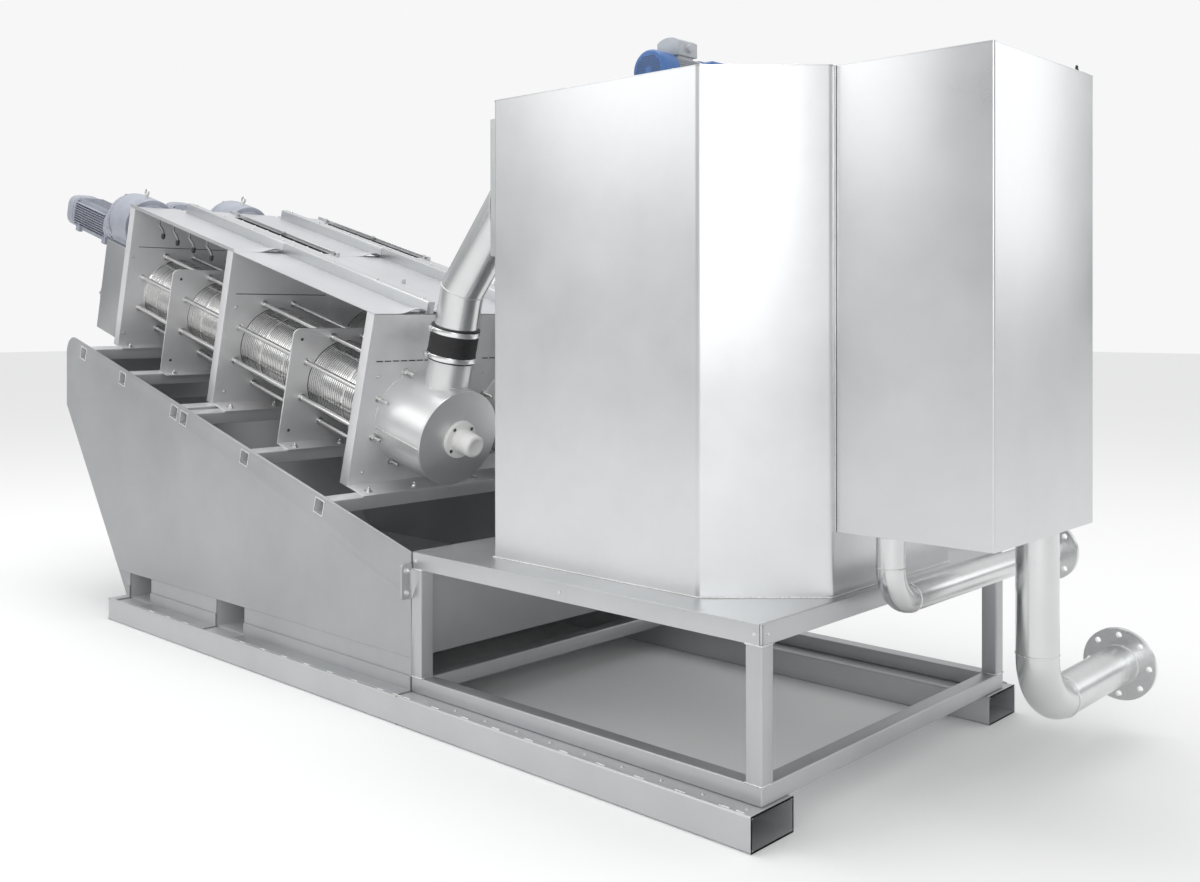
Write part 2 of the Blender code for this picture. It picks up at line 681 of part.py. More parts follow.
def centre_on_origin(plant):
    """Shifts the plant so that the bottom centre of its box is the world origin."""
    bpy.context.view_layer.update()
    graph = bpy.context.evaluated_depsgraph_get()
    corners = []
    for piece in NODES:
        shape = piece.evaluated_get(graph)
        corners += [shape.matrix_world @ Vector(corner) for corner in shape.bound_box]
    low = [min(corner[i] for corner in corners) for i in range(3)]
    high = [max(corner[i] for corner in corners) for i in range(3)]
    plant.location = (-(low[0] + high[0]) / 2, -(low[1] + high[1]) / 2, -low[2])


clear_scene()
plant_origin = empty("plant_origin")
slope_frame = empty("slope_frame", (SLOPE_START[0], 0, SLOPE_START[1]), SLOPE, plant_origin)
base(plant_origin, slope_frame)
stand(plant_origin)
tank(plant_origin)
level_box(plant_origin)
drain_pipe("drain_pipe", DRAIN_X, DRAIN_Y, DRAIN_Z, 0.05715, 0.004, 0.152, 0.110, (8, 0.090), plant_origin)
drain_pipe(
    "overflow_pipe", OVERFLOW_X, OVERFLOW_Y, OVERFLOW_Z, 0.03805, 0.003, 0.095, 0.0925, (4, 0.0725), plant_origin
)
for unit_name, unit_y in zip(UNIT_NAMES, UNIT_Y):
    press_unit(unit_name, unit_y, plant_origin)
centre_on_origin(plant_origin)
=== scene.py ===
import math
import random

import bmesh
import bpy
from mathutils import Euler, Matrix, Vector


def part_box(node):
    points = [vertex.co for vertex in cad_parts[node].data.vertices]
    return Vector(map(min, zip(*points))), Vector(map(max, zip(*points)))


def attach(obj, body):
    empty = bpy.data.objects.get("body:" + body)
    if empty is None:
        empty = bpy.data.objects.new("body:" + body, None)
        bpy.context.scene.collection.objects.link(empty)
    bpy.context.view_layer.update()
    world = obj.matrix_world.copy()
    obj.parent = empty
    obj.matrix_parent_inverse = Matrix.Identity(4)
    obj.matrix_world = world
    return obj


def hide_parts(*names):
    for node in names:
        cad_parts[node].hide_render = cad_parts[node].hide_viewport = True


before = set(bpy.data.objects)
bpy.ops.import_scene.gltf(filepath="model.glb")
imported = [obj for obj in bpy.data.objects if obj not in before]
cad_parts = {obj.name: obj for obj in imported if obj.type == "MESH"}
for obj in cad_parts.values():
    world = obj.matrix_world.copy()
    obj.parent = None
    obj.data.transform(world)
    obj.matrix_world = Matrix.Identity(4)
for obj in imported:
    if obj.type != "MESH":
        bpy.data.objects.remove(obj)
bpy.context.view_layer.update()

# Base skids: two flat hollow tubes of bead-blasted stainless steel lying on the floor, each made in a rear and a
# front length that meet under the seam between the hopper and the stand. Their long edges are rolled round, and
# their ends are sawn off square and left open.

FRONT_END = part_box("skid_front_near")[1].x
NEAR_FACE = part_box("skid_front_near")[0].y


def at(x, y, z):
    """A point measured from the skids' front end, the near skid's outer face and the floor."""
    return Vector((FRONT_END + x, NEAR_FACE + y, z))


def stainless(name, tone, roughness, clouds=0.05, grain=700.0, depth=0.12, matte=0.0):
    """Stainless steel: satin, faintly clouded, with fine grain; blasting leaves it partly matte."""
    metal = bpy.data.materials.new(name)
    metal.use_nodes = True
    nodes, links = metal.node_tree.nodes, metal.node_tree.links
    shader = nodes["Principled BSDF"]
    shader.inputs["Metallic"].default_value = 1.0 - matte
    place = nodes.new("ShaderNodeTexCoord").outputs["Object"]
    cloud = nodes.new("ShaderNodeTexNoise")
    cloud.inputs["Scale"].default_value = 2.6
    cloud.inputs["Detail"].default_value = 6.0
    cloud.inputs["Roughness"].default_value = 0.62
    links.new(place, cloud.inputs["Vector"])
    tint = nodes.new("ShaderNodeValToRGB")
    low = [part * (1 - clouds) for part in tone]
    high = [min(part * (1 + clouds), 1.0) for part in tone]
    tint.color_ramp.elements[0].position = 0.32
    tint.color_ramp.elements[0].color = (*low, 1)
    tint.color_ramp.elements[1].position = 0.68
    tint.color_ramp.elements[1].color = (*high, 1)
    links.new(cloud.outputs["Fac"], tint.inputs["Fac"])
    links.new(tint.outputs["Color"], shader.inputs["Base Color"])
    fine = nodes.new("ShaderNodeTexNoise")
    fine.inputs["Scale"].default_value = grain
    fine.inputs["Detail"].default_value = 3.0
    links.new(place, fine.inputs["Vector"])
    mixed = nodes.new("ShaderNodeMath")
    mixed.operation = "ADD"
    links.new(cloud.outputs["Fac"], mixed.inputs[0])
    links.new(fine.outputs["Fac"], mixed.inputs[1])
    gloss = nodes.new("ShaderNodeMapRange")
    gloss.inputs["From Min"].default_value = 0.6
    gloss.inputs["From Max"].default_value = 1.4
    gloss.inputs["To Min"].default_value = roughness - 0.05
    gloss.inputs["To Max"].default_value = roughness + 0.07
    links.new(mixed.outputs["Value"], gloss.inputs["Value"])
    links.new(gloss.outputs["Result"], shader.inputs["Roughness"])
    bump = nodes.new("ShaderNodeBump")
    bump.inputs["Strength"].default_value = depth
    bump.inputs["Distance"].default_value = 0.0004
    links.new(fine.outputs["Fac"], bump.inputs["Height"])
    links.new(bump.outputs["Normal"], shader.inputs["Normal"])
    return metal


def shown(name, mesh, finish, smooth=30):
    """A mesh as an object at the origin, smooth across edges flatter than that angle."""
    if smooth:
        mesh.shade_smooth()
        mesh.set_sharp_from_angle(angle=math.radians(smooth))
    mesh.materials.clear()
    mesh.materials.append(finish)
    piece = bpy.data.objects.new(name, mesh)
    bpy.context.scene.collection.objects.link(piece)
    return piece


def settle(piece, slot, *nodes):
    """The finished piece rides on the plant and stands for the nodes given; its slot argument is not used."""
    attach(piece, "root")
    if nodes:
        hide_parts(*nodes)
    return piece


def softened(node, finish, radius, along=None, least=0.04, segments=3, slot="steel"):
    """A copy of a node with its long edges rounded, all of them or those that run along one direction."""
    body = bmesh.new()
    body.from_mesh(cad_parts[node].data)
    bmesh.ops.transform(body, matrix=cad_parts[node].matrix_world, verts=body.verts)
    bmesh.ops.remove_doubles(body, verts=body.verts, dist=0.00002)
    bmesh.ops.dissolve_limit(body, angle_limit=math.radians(1), verts=body.verts, edges=body.edges)
    bmesh.ops.connect_verts_concave(body, faces=body.faces)
    edges = []
    for edge in body.edges:
        if len(edge.link_faces) != 2 or edge.calc_length() < least or edge.calc_face_angle(0) < math.radians(25):
            continue
        run = (edge.verts[1].co - edge.verts[0].co).normalized()
        if along is None or abs(run.dot(along)) > 0.999:
            edges.append(edge)
    bmesh.ops.bevel(
        body, geom=edges, offset=radius, offset_type="OFFSET", segments=segments, profile=0.5,
        affect="EDGES", clamp_overlap=True,
    )
    mesh = bpy.data.meshes.new(node)
    body.to_mesh(mesh)
    body.free()
    return settle(shown(node.replace("_", "-") + "-soft", mesh, finish), slot, node)


skid_steel = stainless("blasted_skid_steel", (0.54, 0.55, 0.56), 0.44, matte=0.35)
for end in ("rear", "front"):
    for side in ("near", "far"):
        softened(f"skid_{end}_{side}", skid_steel, 0.007, along=Vector((1, 0, 0)))

# Weld stitches: short TIG beads where the hopper's and the stand's foot ledges are tacked to the skids. Each bead
# is a row of small overlapping ripples, brighter than the blasted steel around it.


def socket(group, name, kind, default=None):
    """Adds a named input to a geometry tree."""
    made = group.interface.new_socket(name=name, in_out="INPUT", socket_type=kind)
    if default is not None:
        made.default_value = default
    return made


def evaluated(name, mesh, group, values):
    """The mesh that a geometry tree makes of another mesh, with the tree's inputs set by identifier."""
    carrier = bpy.data.objects.new(name, mesh)
    bpy.context.scene.collection.objects.link(carrier)
    modifier = carrier.modifiers.new(group.name, "NODES")
    modifier.node_group = group
    for item in group.interface.items_tree:
        if item.item_type == "SOCKET" and item.in_out == "INPUT" and item.name in values:
            modifier[item.identifier] = values[item.name]
    result = bpy.data.meshes.new_from_object(carrier.evaluated_get(bpy.context.evaluated_depsgraph_get()))
    carrier.modifiers.clear()
    bpy.data.objects.remove(carrier, do_unlink=True)
    result.name = name
    return result


def weld_tree():
    """Ripples along a path: resampled at a pitch, each a flattened ball turned along the path."""
    group = bpy.data.node_groups.new("weld_ripples", "GeometryNodeTree")
    socket(group, "Path", "NodeSocketGeometry")
    socket(group, "Pitch", "NodeSocketFloat", 0.003)
    socket(group, "Width", "NodeSocketFloat", 0.006)
    socket(group, "Height", "NodeSocketFloat", 0.003)
    socket(group, "Seed", "NodeSocketInt", 3)
    socket(group, "Finish", "NodeSocketMaterial")
    group.interface.new_socket(name="Beads", in_out="OUTPUT", socket_type="NodeSocketGeometry")
    nodes, links = group.nodes, group.links
    given = nodes.new("NodeGroupInput")
    out = nodes.new("NodeGroupOutput")
    curve = nodes.new("GeometryNodeMeshToCurve")
    links.new(given.outputs["Path"], curve.inputs["Mesh"])
    points = nodes.new("GeometryNodeCurveToPoints")
    points.mode = "LENGTH"
    links.new(curve.outputs["Curve"], points.inputs["Curve"])
    links.new(given.outputs["Pitch"], points.inputs["Length"])
    ball = nodes.new("GeometryNodeMeshUVSphere")
    ball.inputs["Segments"].default_value = 8
    ball.inputs["Rings"].default_value = 5
    ball.inputs["Radius"].default_value = 0.5
    vary = nodes.new("FunctionNodeRandomValue")
    vary.data_type = "FLOAT"
    vary.inputs[2].default_value = 0.88
    vary.inputs[3].default_value = 1.12
    links.new(given.outputs["Seed"], vary.inputs["Seed"])
    size = nodes.new("ShaderNodeCombineXYZ")
    long = nodes.new("ShaderNodeMath")
    long.operation = "MULTIPLY"
    long.inputs[1].default_value = 1.7
    links.new(given.outputs["Pitch"], long.inputs[0])
    links.new(given.outputs["Height"], size.inputs["X"])
    links.new(given.outputs["Width"], size.inputs["Y"])
    links.new(long.outputs["Value"], size.inputs["Z"])
    scaled = nodes.new("ShaderNodeVectorMath")
    scaled.operation = "SCALE"
    links.new(size.outputs["Vector"], scaled.inputs[0])
    links.new(vary.outputs[1], scaled.inputs["Scale"])
    copies = nodes.new("GeometryNodeInstanceOnPoints")
    links.new(points.outputs["Points"], copies.inputs["Points"])
    links.new(ball.outputs["Mesh"], copies.inputs["Instance"])
    links.new(points.outputs["Rotation"], copies.inputs["Rotation"])
    links.new(scaled.outputs["Vector"], copies.inputs["Scale"])
    real = nodes.new("GeometryNodeRealizeInstances")
    links.new(copies.outputs["Instances"], real.inputs["Geometry"])
    coat = nodes.new("GeometryNodeSetMaterial")
    links.new(real.outputs["Geometry"], coat.inputs["Geometry"])
    links.new(given.outputs["Finish"], coat.inputs["Material"])
    links.new(coat.outputs["Geometry"], out.inputs["Beads"])
    return group


ripples = weld_tree()


def weld(name, paths, finish, width=0.006, height=0.003, pitch=0.003, seed=3):
    """One piece with a bead along each path, a path being a list of points."""
    mesh = bpy.data.meshes.new(name + "_paths")
    points, edges = [], []
    for path in paths:
        edges += [(len(points) + i, len(points) + i + 1) for i in range(len(path) - 1)]
        points += [tuple(point) for point in path]
    mesh.from_pydata(points, edges, [])
    values = {"Pitch": pitch, "Width": width, "Height": height, "Seed": seed, "Finish": finish}
    beads = evaluated(name, mesh, ripples, values)
    return settle(shown(name, beads, finish, 60), "bright_steel")


bead_steel = stainless("weld_bead_steel", (0.74, 0.74, 0.73), 0.26, clouds=0.10, grain=260.0, depth=0.25)
stitches = []
for y in (0.0065, 1.4335):
    for i in range(24):
        x = -3.235 + 0.137 * i
        clear = not any(low - 0.03 < x < high + 0.03 for low, high in ((-3.252, -3.069), (-2.553, -2.352)))
        if clear and abs(x + 1.363) > 0.03:
            stitches.append([at(x - 0.014, y, 0.0912), at(x + 0.014, y, 0.0912)])
    for x in (-0.035, -1.352, -1.375):
        stitches.append([at(x - 0.010, y, 0.0912), at(x + 0.010, y, 0.0912)])
weld("ledge_stitches", stitches, bead_steel, width=0.006, height=0.0036, pitch=0.0036)

# Hopper: two tall side plates of 4 mm sheet with a sloped top edge, each welded on a foot angle, with a folded
# rear wall, a front wall, a floor sheet and two flat tubes under it for a lift truck's forks. All of it is
# blasted stainless steel, and the sheared edges stay brighter than the faces.

hopper_steel = stainless("blasted_hopper_steel", (0.42, 0.43, 0.44), 0.46, clouds=0.07, matte=0.25)
for side in ("near", "far"):
    softened(f"hopper_side_{side}", hopper_steel, 0.0012, segments=2)
    for where in ("mid", "front"):
        softened(f"hopper_foot_{where}_{side}", hopper_steel, 0.0010, segments=2)
for node in ("hopper_floor", "hopper_rear_wall", "hopper_front_wall"):
    softened(node, hopper_steel, 0.0010, segments=2)
# The fork tubes' steel is toned lighter than the hopper's as painted light, so the tubes' insides read lit through
# their open ends.
channel_steel = stainless("blasted_channel_steel", (0.66, 0.67, 0.68), 0.46, matte=0.45)
for end in ("rear", "front"):
    softened(f"fork_channel_{end}", channel_steel, 0.0045, along=Vector((0, 1, 0)))

# Support beams: six square tubes across the hopper, tilted with its top edge and flush with the side plates, where
# their sawn ends are welded in all round. The press units' feet are bolted on them.

SLOPE = math.radians(15)
slope_run = Vector((math.cos(SLOPE), 0, -math.sin(SLOPE)))
slope_up = Vector((math.sin(SLOPE), 0, math.cos(SLOPE)))
beam_steel = stainless("blasted_beam_steel", (0.70, 0.71, 0.72), 0.42, matte=0.5)
BEAM_PLACES = (0.077, -0.422, -0.890, -0.969, -1.4275, -1.813)
collars = []
for letter, x in zip("abcdef", BEAM_PLACES):
    softened(f"support_beam_{letter}", beam_steel, 0.004, along=Vector((0, 1, 0)))
    middle = at(-1.938, 0, 0.667) + slope_run * x - slope_up * 0.025
    for y in (0.0594, 1.3806):
        around = []
        for a, b in ((-1, -1), (1, -1), (1, 1), (-1, 1), (-1, -1)):
            corner = middle + slope_run * (a * 0.0262) + slope_up * (b * 0.0262)
            around.append(Vector((corner.x, NEAR_FACE + y, corner.z)))
        collars.append(around)
weld("beam_collars", collars, bead_steel, width=0.0045, height=0.0030, pitch=0.0040)

# Stand: a frame of 50 mm square tube under the control tank, with lower rails, four posts and a deck whose top
# ring is covered by a sheet. Its corners are welded and ground, with the bead left showing in the inner corners.

stand_steel = stainless("blasted_stand_steel", (0.50, 0.51, 0.52), 0.42, matte=0.2)
softened("stand_base", stand_steel, 0.0045, segments=4)
for side in ("near", "far"):
    for end in ("front", "rear"):
        softened(f"stand_post_{end}_{side}", stand_steel, 0.0045, along=Vector((0, 0, 1)), least=0.2)
deck_steel = stainless("blasted_deck_steel", (0.55, 0.56, 0.57), 0.40, clouds=0.06)
softened("deck", deck_steel, 0.0040, segments=4)
corner_beads = []
for y in (0.060, 1.330):
    for x in (-1.363, -0.0606):
        low, high = at(x - 0.0006, y - 0.0006, 0.1402), at(x + 0.0506, y + 0.0506, 0.1402)
        for z in (0.1404, 0.4808):
            square = [(low.x, low.y, z), (high.x, low.y, z), (high.x, high.y, z), (low.x, high.y, z)]
            corner_beads.append(square + [square[0]])
weld("stand_corner_beads", corner_beads, bead_steel, width=0.0042, height=0.0026, pitch=0.0036)

# Seam bolts: each ear on the hopper meets one on the stand, and two bolts through the slotted holes pull the two
# modules together. The bolts are plain stainless hexagon heads on broad washers.


def add_turned(body, profile, matrix, sides=64, closed=False):
    """Turns (along, radius) points about the local X axis; a radius of zero closes the shape."""
    rings = []
    for along, radius in profile:
        if radius == 0:
            rings.append([body.verts.new(matrix @ Vector((along, 0, 0)))])
            continue
        angles = (2 * math.pi * i / sides for i in range(sides))
        rings.append([body.verts.new(matrix @ Vector((along, radius * math.cos(a), radius * math.sin(a)))) for a in angles])
    pairs = list(zip(rings, rings[1:]))
    if closed:
        pairs.append((rings[-1], rings[0]))
    for low, high in pairs:
        for i in range(sides):
            j = (i + 1) % sides
            corners = [low[i % len(low)], low[j % len(low)], high[j % len(high)], high[i % len(high)]]
            body.faces.new(list(dict.fromkeys(corners)))


def add_prism(body, outline, low, high, matrix, bevel=0.0, segments=2):
    """Pushes a (y, z) outline along the local X axis, with its edges rounded if a bevel is given."""
    rings = [[body.verts.new(matrix @ Vector((x, y, z))) for y, z in outline] for x in (low, high)]
    faces = [body.faces.new(rings[0]), body.faces.new(rings[1])]
    count = len(outline)
    for i in range(count):
        j = (i + 1) % count
        faces.append(body.faces.new([rings[0][i], rings[0][j], rings[1][j], rings[1][i]]))
    if bevel:
        edges = list({edge for face in faces for edge in face.edges})
        edges = [edge for edge in edges if len(edge.link_faces) == 2]
        bmesh.ops.recalc_face_normals(body, faces=faces)
        edges = [edge for edge in edges if edge.calc_face_angle(0) > math.radians(25)]
        bmesh.ops.bevel(body, geom=edges, offset=bevel, segments=segments, profile=0.5, affect="EDGES", clamp_overlap=True)


def add_block(body, low, high, matrix, bevel=0.001, segments=2):
    """A block between two corners, with rounded edges."""
    (x0, y0, z0), (x1, y1, z1) = low, high
    add_prism(body, [(y0, z0), (y1, z0), (y1, z1), (y0, z1)], x0, x1, matrix, bevel, segments)


def made(name, body):
    """The built shape as a mesh, its faces turned outwards."""
    bmesh.ops.recalc_face_normals(body, faces=body.faces)
    mesh = bpy.data.meshes.new(name)
    body.to_mesh(mesh)
    body.free()
    return mesh


def bolt_shape(across, height, washer, shank=0.0, sides=6):
    """A fastener standing on the YZ plane: a washer, a chamfered head or nut, and a stub of thread beyond it."""
    body = bmesh.new()
    still = Matrix()
    thin = 0.12 * across
    add_turned(body, [(-0.001, 0), (-0.001, washer), (thin * 0.8, washer), (thin, washer - thin * 0.3), (thin, 0)], still, 20)
    reach = across / 2 / math.cos(math.pi / 6) if sides == 6 else across / 2
    edge = 0.12 * across
    top = thin + height
    head = [(0, 0), (0, reach), (top - edge, reach), (top, reach - edge), (top, 0)]
    add_turned(body, head, still, sides)
    if shank:
        thread = [(top - 0.001, 0)]
        radius = across * 0.31
        steps = max(2, int(shank / 0.003))
        for i in range(steps):
            x = top - 0.001 + shank * i / steps
            thread += [(x, radius * 0.90), (x + shank / steps / 2, radius)]
        thread += [(top + shank, radius * 0.82), (top + shank, 0)]
        add_turned(body, thread, still, 12)
    return made("fastener", body)


def spread_tree():
    """Copies of a shape on points, each turned and sized by the points' own attributes."""
    group = bpy.data.node_groups.new("shapes_on_points", "GeometryNodeTree")
    socket(group, "Points", "NodeSocketGeometry")
    socket(group, "Shape", "NodeSocketObject")
    socket(group, "Unevenness", "NodeSocketFloat", 0.0)
    socket(group, "Seed", "NodeSocketInt", 5)
    socket(group, "Finish", "NodeSocketMaterial")
    group.interface.new_socket(name="Pieces", in_out="OUTPUT", socket_type="NodeSocketGeometry")
    nodes, links = group.nodes, group.links
    given = nodes.new("NodeGroupInput")
    out = nodes.new("NodeGroupOutput")
    shape = nodes.new("GeometryNodeObjectInfo")
    shape.inputs["As Instance"].default_value = True
    links.new(given.outputs["Shape"], shape.inputs["Object"])
    turn = nodes.new("GeometryNodeInputNamedAttribute")
    turn.data_type = "FLOAT_VECTOR"
    turn.inputs["Name"].default_value = "turn"
    euler = nodes.new("FunctionNodeEulerToRotation")
    links.new(turn.outputs["Attribute"], euler.inputs["Euler"])
    size = nodes.new("GeometryNodeInputNamedAttribute")
    size.data_type = "FLOAT_VECTOR"
    size.inputs["Name"].default_value = "size"
    wobble = nodes.new("FunctionNodeRandomValue")
    wobble.data_type = "FLOAT"
    less = nodes.new("ShaderNodeMath")
    less.operation = "SUBTRACT"
    less.inputs[0].default_value = 1.0
    more = nodes.new("ShaderNodeMath")
    more.operation = "ADD"
    more.inputs[0].default_value = 1.0
    links.new(given.outputs["Unevenness"], less.inputs[1])
    links.new(given.outputs["Unevenness"], more.inputs[1])
    links.new(less.outputs["Value"], wobble.inputs[2])
    links.new(more.outputs["Value"], wobble.inputs[3])
    links.new(given.outputs["Seed"], wobble.inputs["Seed"])
    scaled = nodes.new("ShaderNodeVectorMath")
    scaled.operation = "SCALE"
    links.new(size.outputs["Attribute"], scaled.inputs[0])
    links.new(wobble.outputs[1], scaled.inputs["Scale"])
    copies = nodes.new("GeometryNodeInstanceOnPoints")
    links.new(given.outputs["Points"], copies.inputs["Points"])
    links.new(shape.outputs["Geometry"], copies.inputs["Instance"])
    links.new(euler.outputs["Rotation"], copies.inputs["Rotation"])
    links.new(scaled.outputs["Vector"], copies.inputs["Scale"])
    real = nodes.new("GeometryNodeRealizeInstances")
    links.new(copies.outputs["Instances"], real.inputs["Geometry"])
    coat = nodes.new("GeometryNodeSetMaterial")
    links.new(real.outputs["Geometry"], coat.inputs["Geometry"])
    links.new(given.outputs["Finish"], coat.inputs["Material"])
    links.new(coat.outputs["Geometry"], out.inputs["Pieces"])
    return group


on_points = spread_tree()


def placed(name, shape, places, finish, slot="bright_steel", uneven=0.0, smooth=30, seed=5):
    """One piece with a copy of the shape at each place, a place being a matrix."""
    pattern = bpy.data.objects.new(name + "_shape", shape)
    bpy.context.scene.collection.objects.link(pattern)
    points = bpy.data.meshes.new(name + "_points")
    parts = [matrix.decompose() for matrix in places]
    points.from_pydata([tuple(part[0]) for part in parts], [], [])
    turn = points.attributes.new("turn", "FLOAT_VECTOR", "POINT")
    size = points.attributes.new("size", "FLOAT_VECTOR", "POINT")
    for i, (_, rotation, scale) in enumerate(parts):
        turn.data[i].vector = rotation.to_euler()
        size.data[i].vector = scale
    values = {"Shape": pattern, "Unevenness": uneven, "Seed": seed, "Finish": finish}
    mesh = evaluated(name, points, on_points, values)
    bpy.data.objects.remove(pattern, do_unlink=True)
    return settle(shown(name, mesh, finish, smooth), slot)


bolt_steel = stainless("bolt_steel", (0.70, 0.70, 0.69), 0.28, clouds=0.08, grain=400.0)
random.seed(11)


def facing(place, direction, spin=None):
    """A matrix that stands a shape's X axis along a direction, spun by a random angle."""
    turned = Vector(direction).to_track_quat("X", "Z").to_matrix().to_4x4()
    angle = random.uniform(0, math.pi / 3) if spin is None else spin
    return Matrix.Translation(place) @ turned @ Matrix.Rotation(angle, 4, "X")


seam_places = []
for y in (0.038, 1.402):
    for z in (0.477, 0.408):
        seam_places.append(facing(at(-1.358, y, z), (1, 0, 0)))
        seam_places.append(facing(at(-1.3683, y, z), (-1, 0, 0)))
placed("seam_bolts", bolt_shape(0.013, 0.007, 0.0105, 0.006), seam_places, bolt_steel)
deck_places = []
for x, y in ((-1.338, 0.060), (-1.338, 0.300), (-0.033, 0.060), (-0.700, 0.060)):
    deck_places.append(facing(at(x, y, 0.5075), (0, -1, 0)))
for x in (-0.0106,):
    for y in (0.085, 1.355):
        deck_places.append(facing(at(x, y, 0.5075), (1, 0, 0)))
deck_places = [place for place in deck_places if place.translation.y < NEAR_FACE + 0.2 or place.translation.x > FRONT_END - 0.1]
placed("deck_corner_screws", bolt_shape(0.008, 0.003, 0.0055, sides=12), deck_places, bolt_steel)
ledge_places = []
for i in range(10):
    ledge_places.append(facing(at(-1.25 + 0.135 * i, 0.033, 0.0905), (0, 0, 1)))
placed("ledge_screws", bolt_shape(0.007, 0.003, 0.006, sides=12), ledge_places, bolt_steel)

# Press units: two side by side, tilted 15 degrees. Each stands between a front, a middle and a rear tray of folded
# sheet, and two low cradle plates in between carry the screen drum. All are blasted stainless steel, folded
# cold, and bolted through their feet to the support beams.

# The plates' steel is toned lighter than the hopper's: partly its own pale blasted finish, partly painted light for
# plates that face away from the lamps.
unit_steel = stainless("blasted_plate_steel", (0.72, 0.72, 0.73), 0.44, clouds=0.07, matte=0.50)
cradle_steel = stainless("blasted_cradle_steel", (0.74, 0.74, 0.75), 0.42, clouds=0.07, matte=0.50)
# Near-black steel: painted shade on the cradle screws in the bays and on the drum's core; it is also used for the plate
# joints and the cap screws.
dark_steel = stainless("shadowed_screw_steel", (0.10, 0.10, 0.11), 0.45, clouds=0.15)
UNIT_MIDDLES = {"near": 0.471, "far": 0.969}
unit_frames = {}
for side, middle in UNIT_MIDDLES.items():
    unit_frames[side] = Matrix.Translation(at(-1.938, middle, 0.667)) @ Matrix.Rotation(SLOPE, 4, "Y")
foot_places, plate_screws, small_screws, rod_nuts, stud_places = [], [], [], [], []
ROD_ANGLES = [math.radians(22.5 + 45 * k) for k in range(8)]
for side, tilt in unit_frames.items():
    for where in ("front", "mid", "rear"):
        softened(f"plate_{where}_{side}", unit_steel, 0.0016, segments=2, least=0.06)
    for where in ("front", "rear"):
        softened(f"half_plate_{where}_{side}", cradle_steel, 0.0014, segments=2, least=0.06)
    feet = ((0.0, 0.070), (-0.466, 0.052), (-0.968, 0.070), (-1.420, 0.040), (-1.8275, 0.028))
    for x, reach in feet:
        for y in (-0.205, 0.0, 0.205):
            foot_places.append(tilt @ facing((x + reach, y, 0.0054), (0, 0, 1)))
    corners = {0.0: (0.190, 0.410, 0.050), -0.968: (0.200, 0.411, 0.052), -1.8275: (0.230, 0.419, 0.062)}
    for x, (across, high, low) in corners.items():
        for y in (-across, across):
            for z in (high, low):
                plate_screws.append(tilt @ facing((x, y, z), (1, 0, 0)))
    for x in (-0.466, -1.420):
        for y in (-0.208, 0.208):
            for z in (0.417, 0.054):
                small_screws.append(tilt @ facing((x, y, z), (1, 0, 0)))
    for a in ROD_ANGLES:
        y, z = 0.185 * math.cos(a), 0.255 + 0.185 * math.sin(a)
        stud_places.append(tilt @ facing((0.0, y, z), (1, 0, 0)))
        for x, way in ((-0.968, 1), (-0.974, -1), (-1.8275, 1)):
            rod_nuts.append(tilt @ facing((x, y, z), (way, 0, 0)))
        for x, way in ((-0.466, 1), (-0.472, -1), (-1.420, 1), (-1.426, -1)):
            rod_nuts.append(tilt @ facing((x, y, z), (way, 0, 0)))
placed("foot_bolts", bolt_shape(0.016, 0.009, 0.0155, 0.005), foot_places, bolt_steel)
placed("plate_screws", bolt_shape(0.009, 0.004, 0.007, sides=12), plate_screws, bolt_steel)
placed("cradle_screws", bolt_shape(0.008, 0.003, 0.006, sides=12), small_screws, dark_steel, slot="steel")
placed("tie_rod_nuts", bolt_shape(0.021, 0.010, 0.0165, sides=12), rod_nuts, bolt_steel)
placed("front_studs", bolt_shape(0.019, 0.012, 0.0150, 0.034), stud_places, bolt_steel)
plate_ties = []
body = bmesh.new()
for side, tilt in unit_frames.items():
    for x, high in ((-0.968, 0.4690), (-1.8275, 0.4685)):
        add_block(body, (x - 0.001, -0.209, 0.4655), (x + 0.0008, 0.220, high), tilt, 0.0004, 1)
    for i in range(12):
        y = -0.209 + 0.036 * i
        add_block(body, (-0.001, y, 0.4648), (0.0010, y + 0.0300, 0.4692), tilt, 0.0004, 1)
        plate_ties.append(tilt @ facing((0.0002, y - 0.003, 0.467), (1, 0, 0), 0.0))
settle(shown("plate_joints", made("plate_joints", body), dark_steel, 0), "steel")
placed("plate_ties", bolt_shape(0.006, 0.003, 0.0042, sides=12), plate_ties, bolt_steel)

# Screen drum: a long pack of thin polished rings threaded on eight tie rods, coarser in the two front bays and
# finer in the two rear ones, with the screw turning inside. Every second ring floats, so none lies quite alike.

ring_steel = stainless("polished_ring_steel", (0.78, 0.78, 0.77), 0.17, clouds=0.10, grain=900.0, depth=0.05)
rod_steel = stainless("ground_rod_steel", (0.80, 0.80, 0.79), 0.13, clouds=0.06, grain=1200.0, depth=0.04)
BAYS = ((-0.0105, -0.4655, 0.0060), (-0.4725, -0.9675, 0.0060), (-0.9745, -1.4195, 0.0046), (-1.4265, -1.8270, 0.0046))


def ring_shape(radius, inner, thick):
    """One screen ring: its outer band slightly crowned and its two faces, open where the core hides it."""
    body = bmesh.new()
    half = thick / 2
    add_turned(body, [(-half, inner), (-half, radius - 0.0004), (0, radius), (half, radius - 0.0004), (half, inner)], Matrix(), 40)
    return made("ring", body)


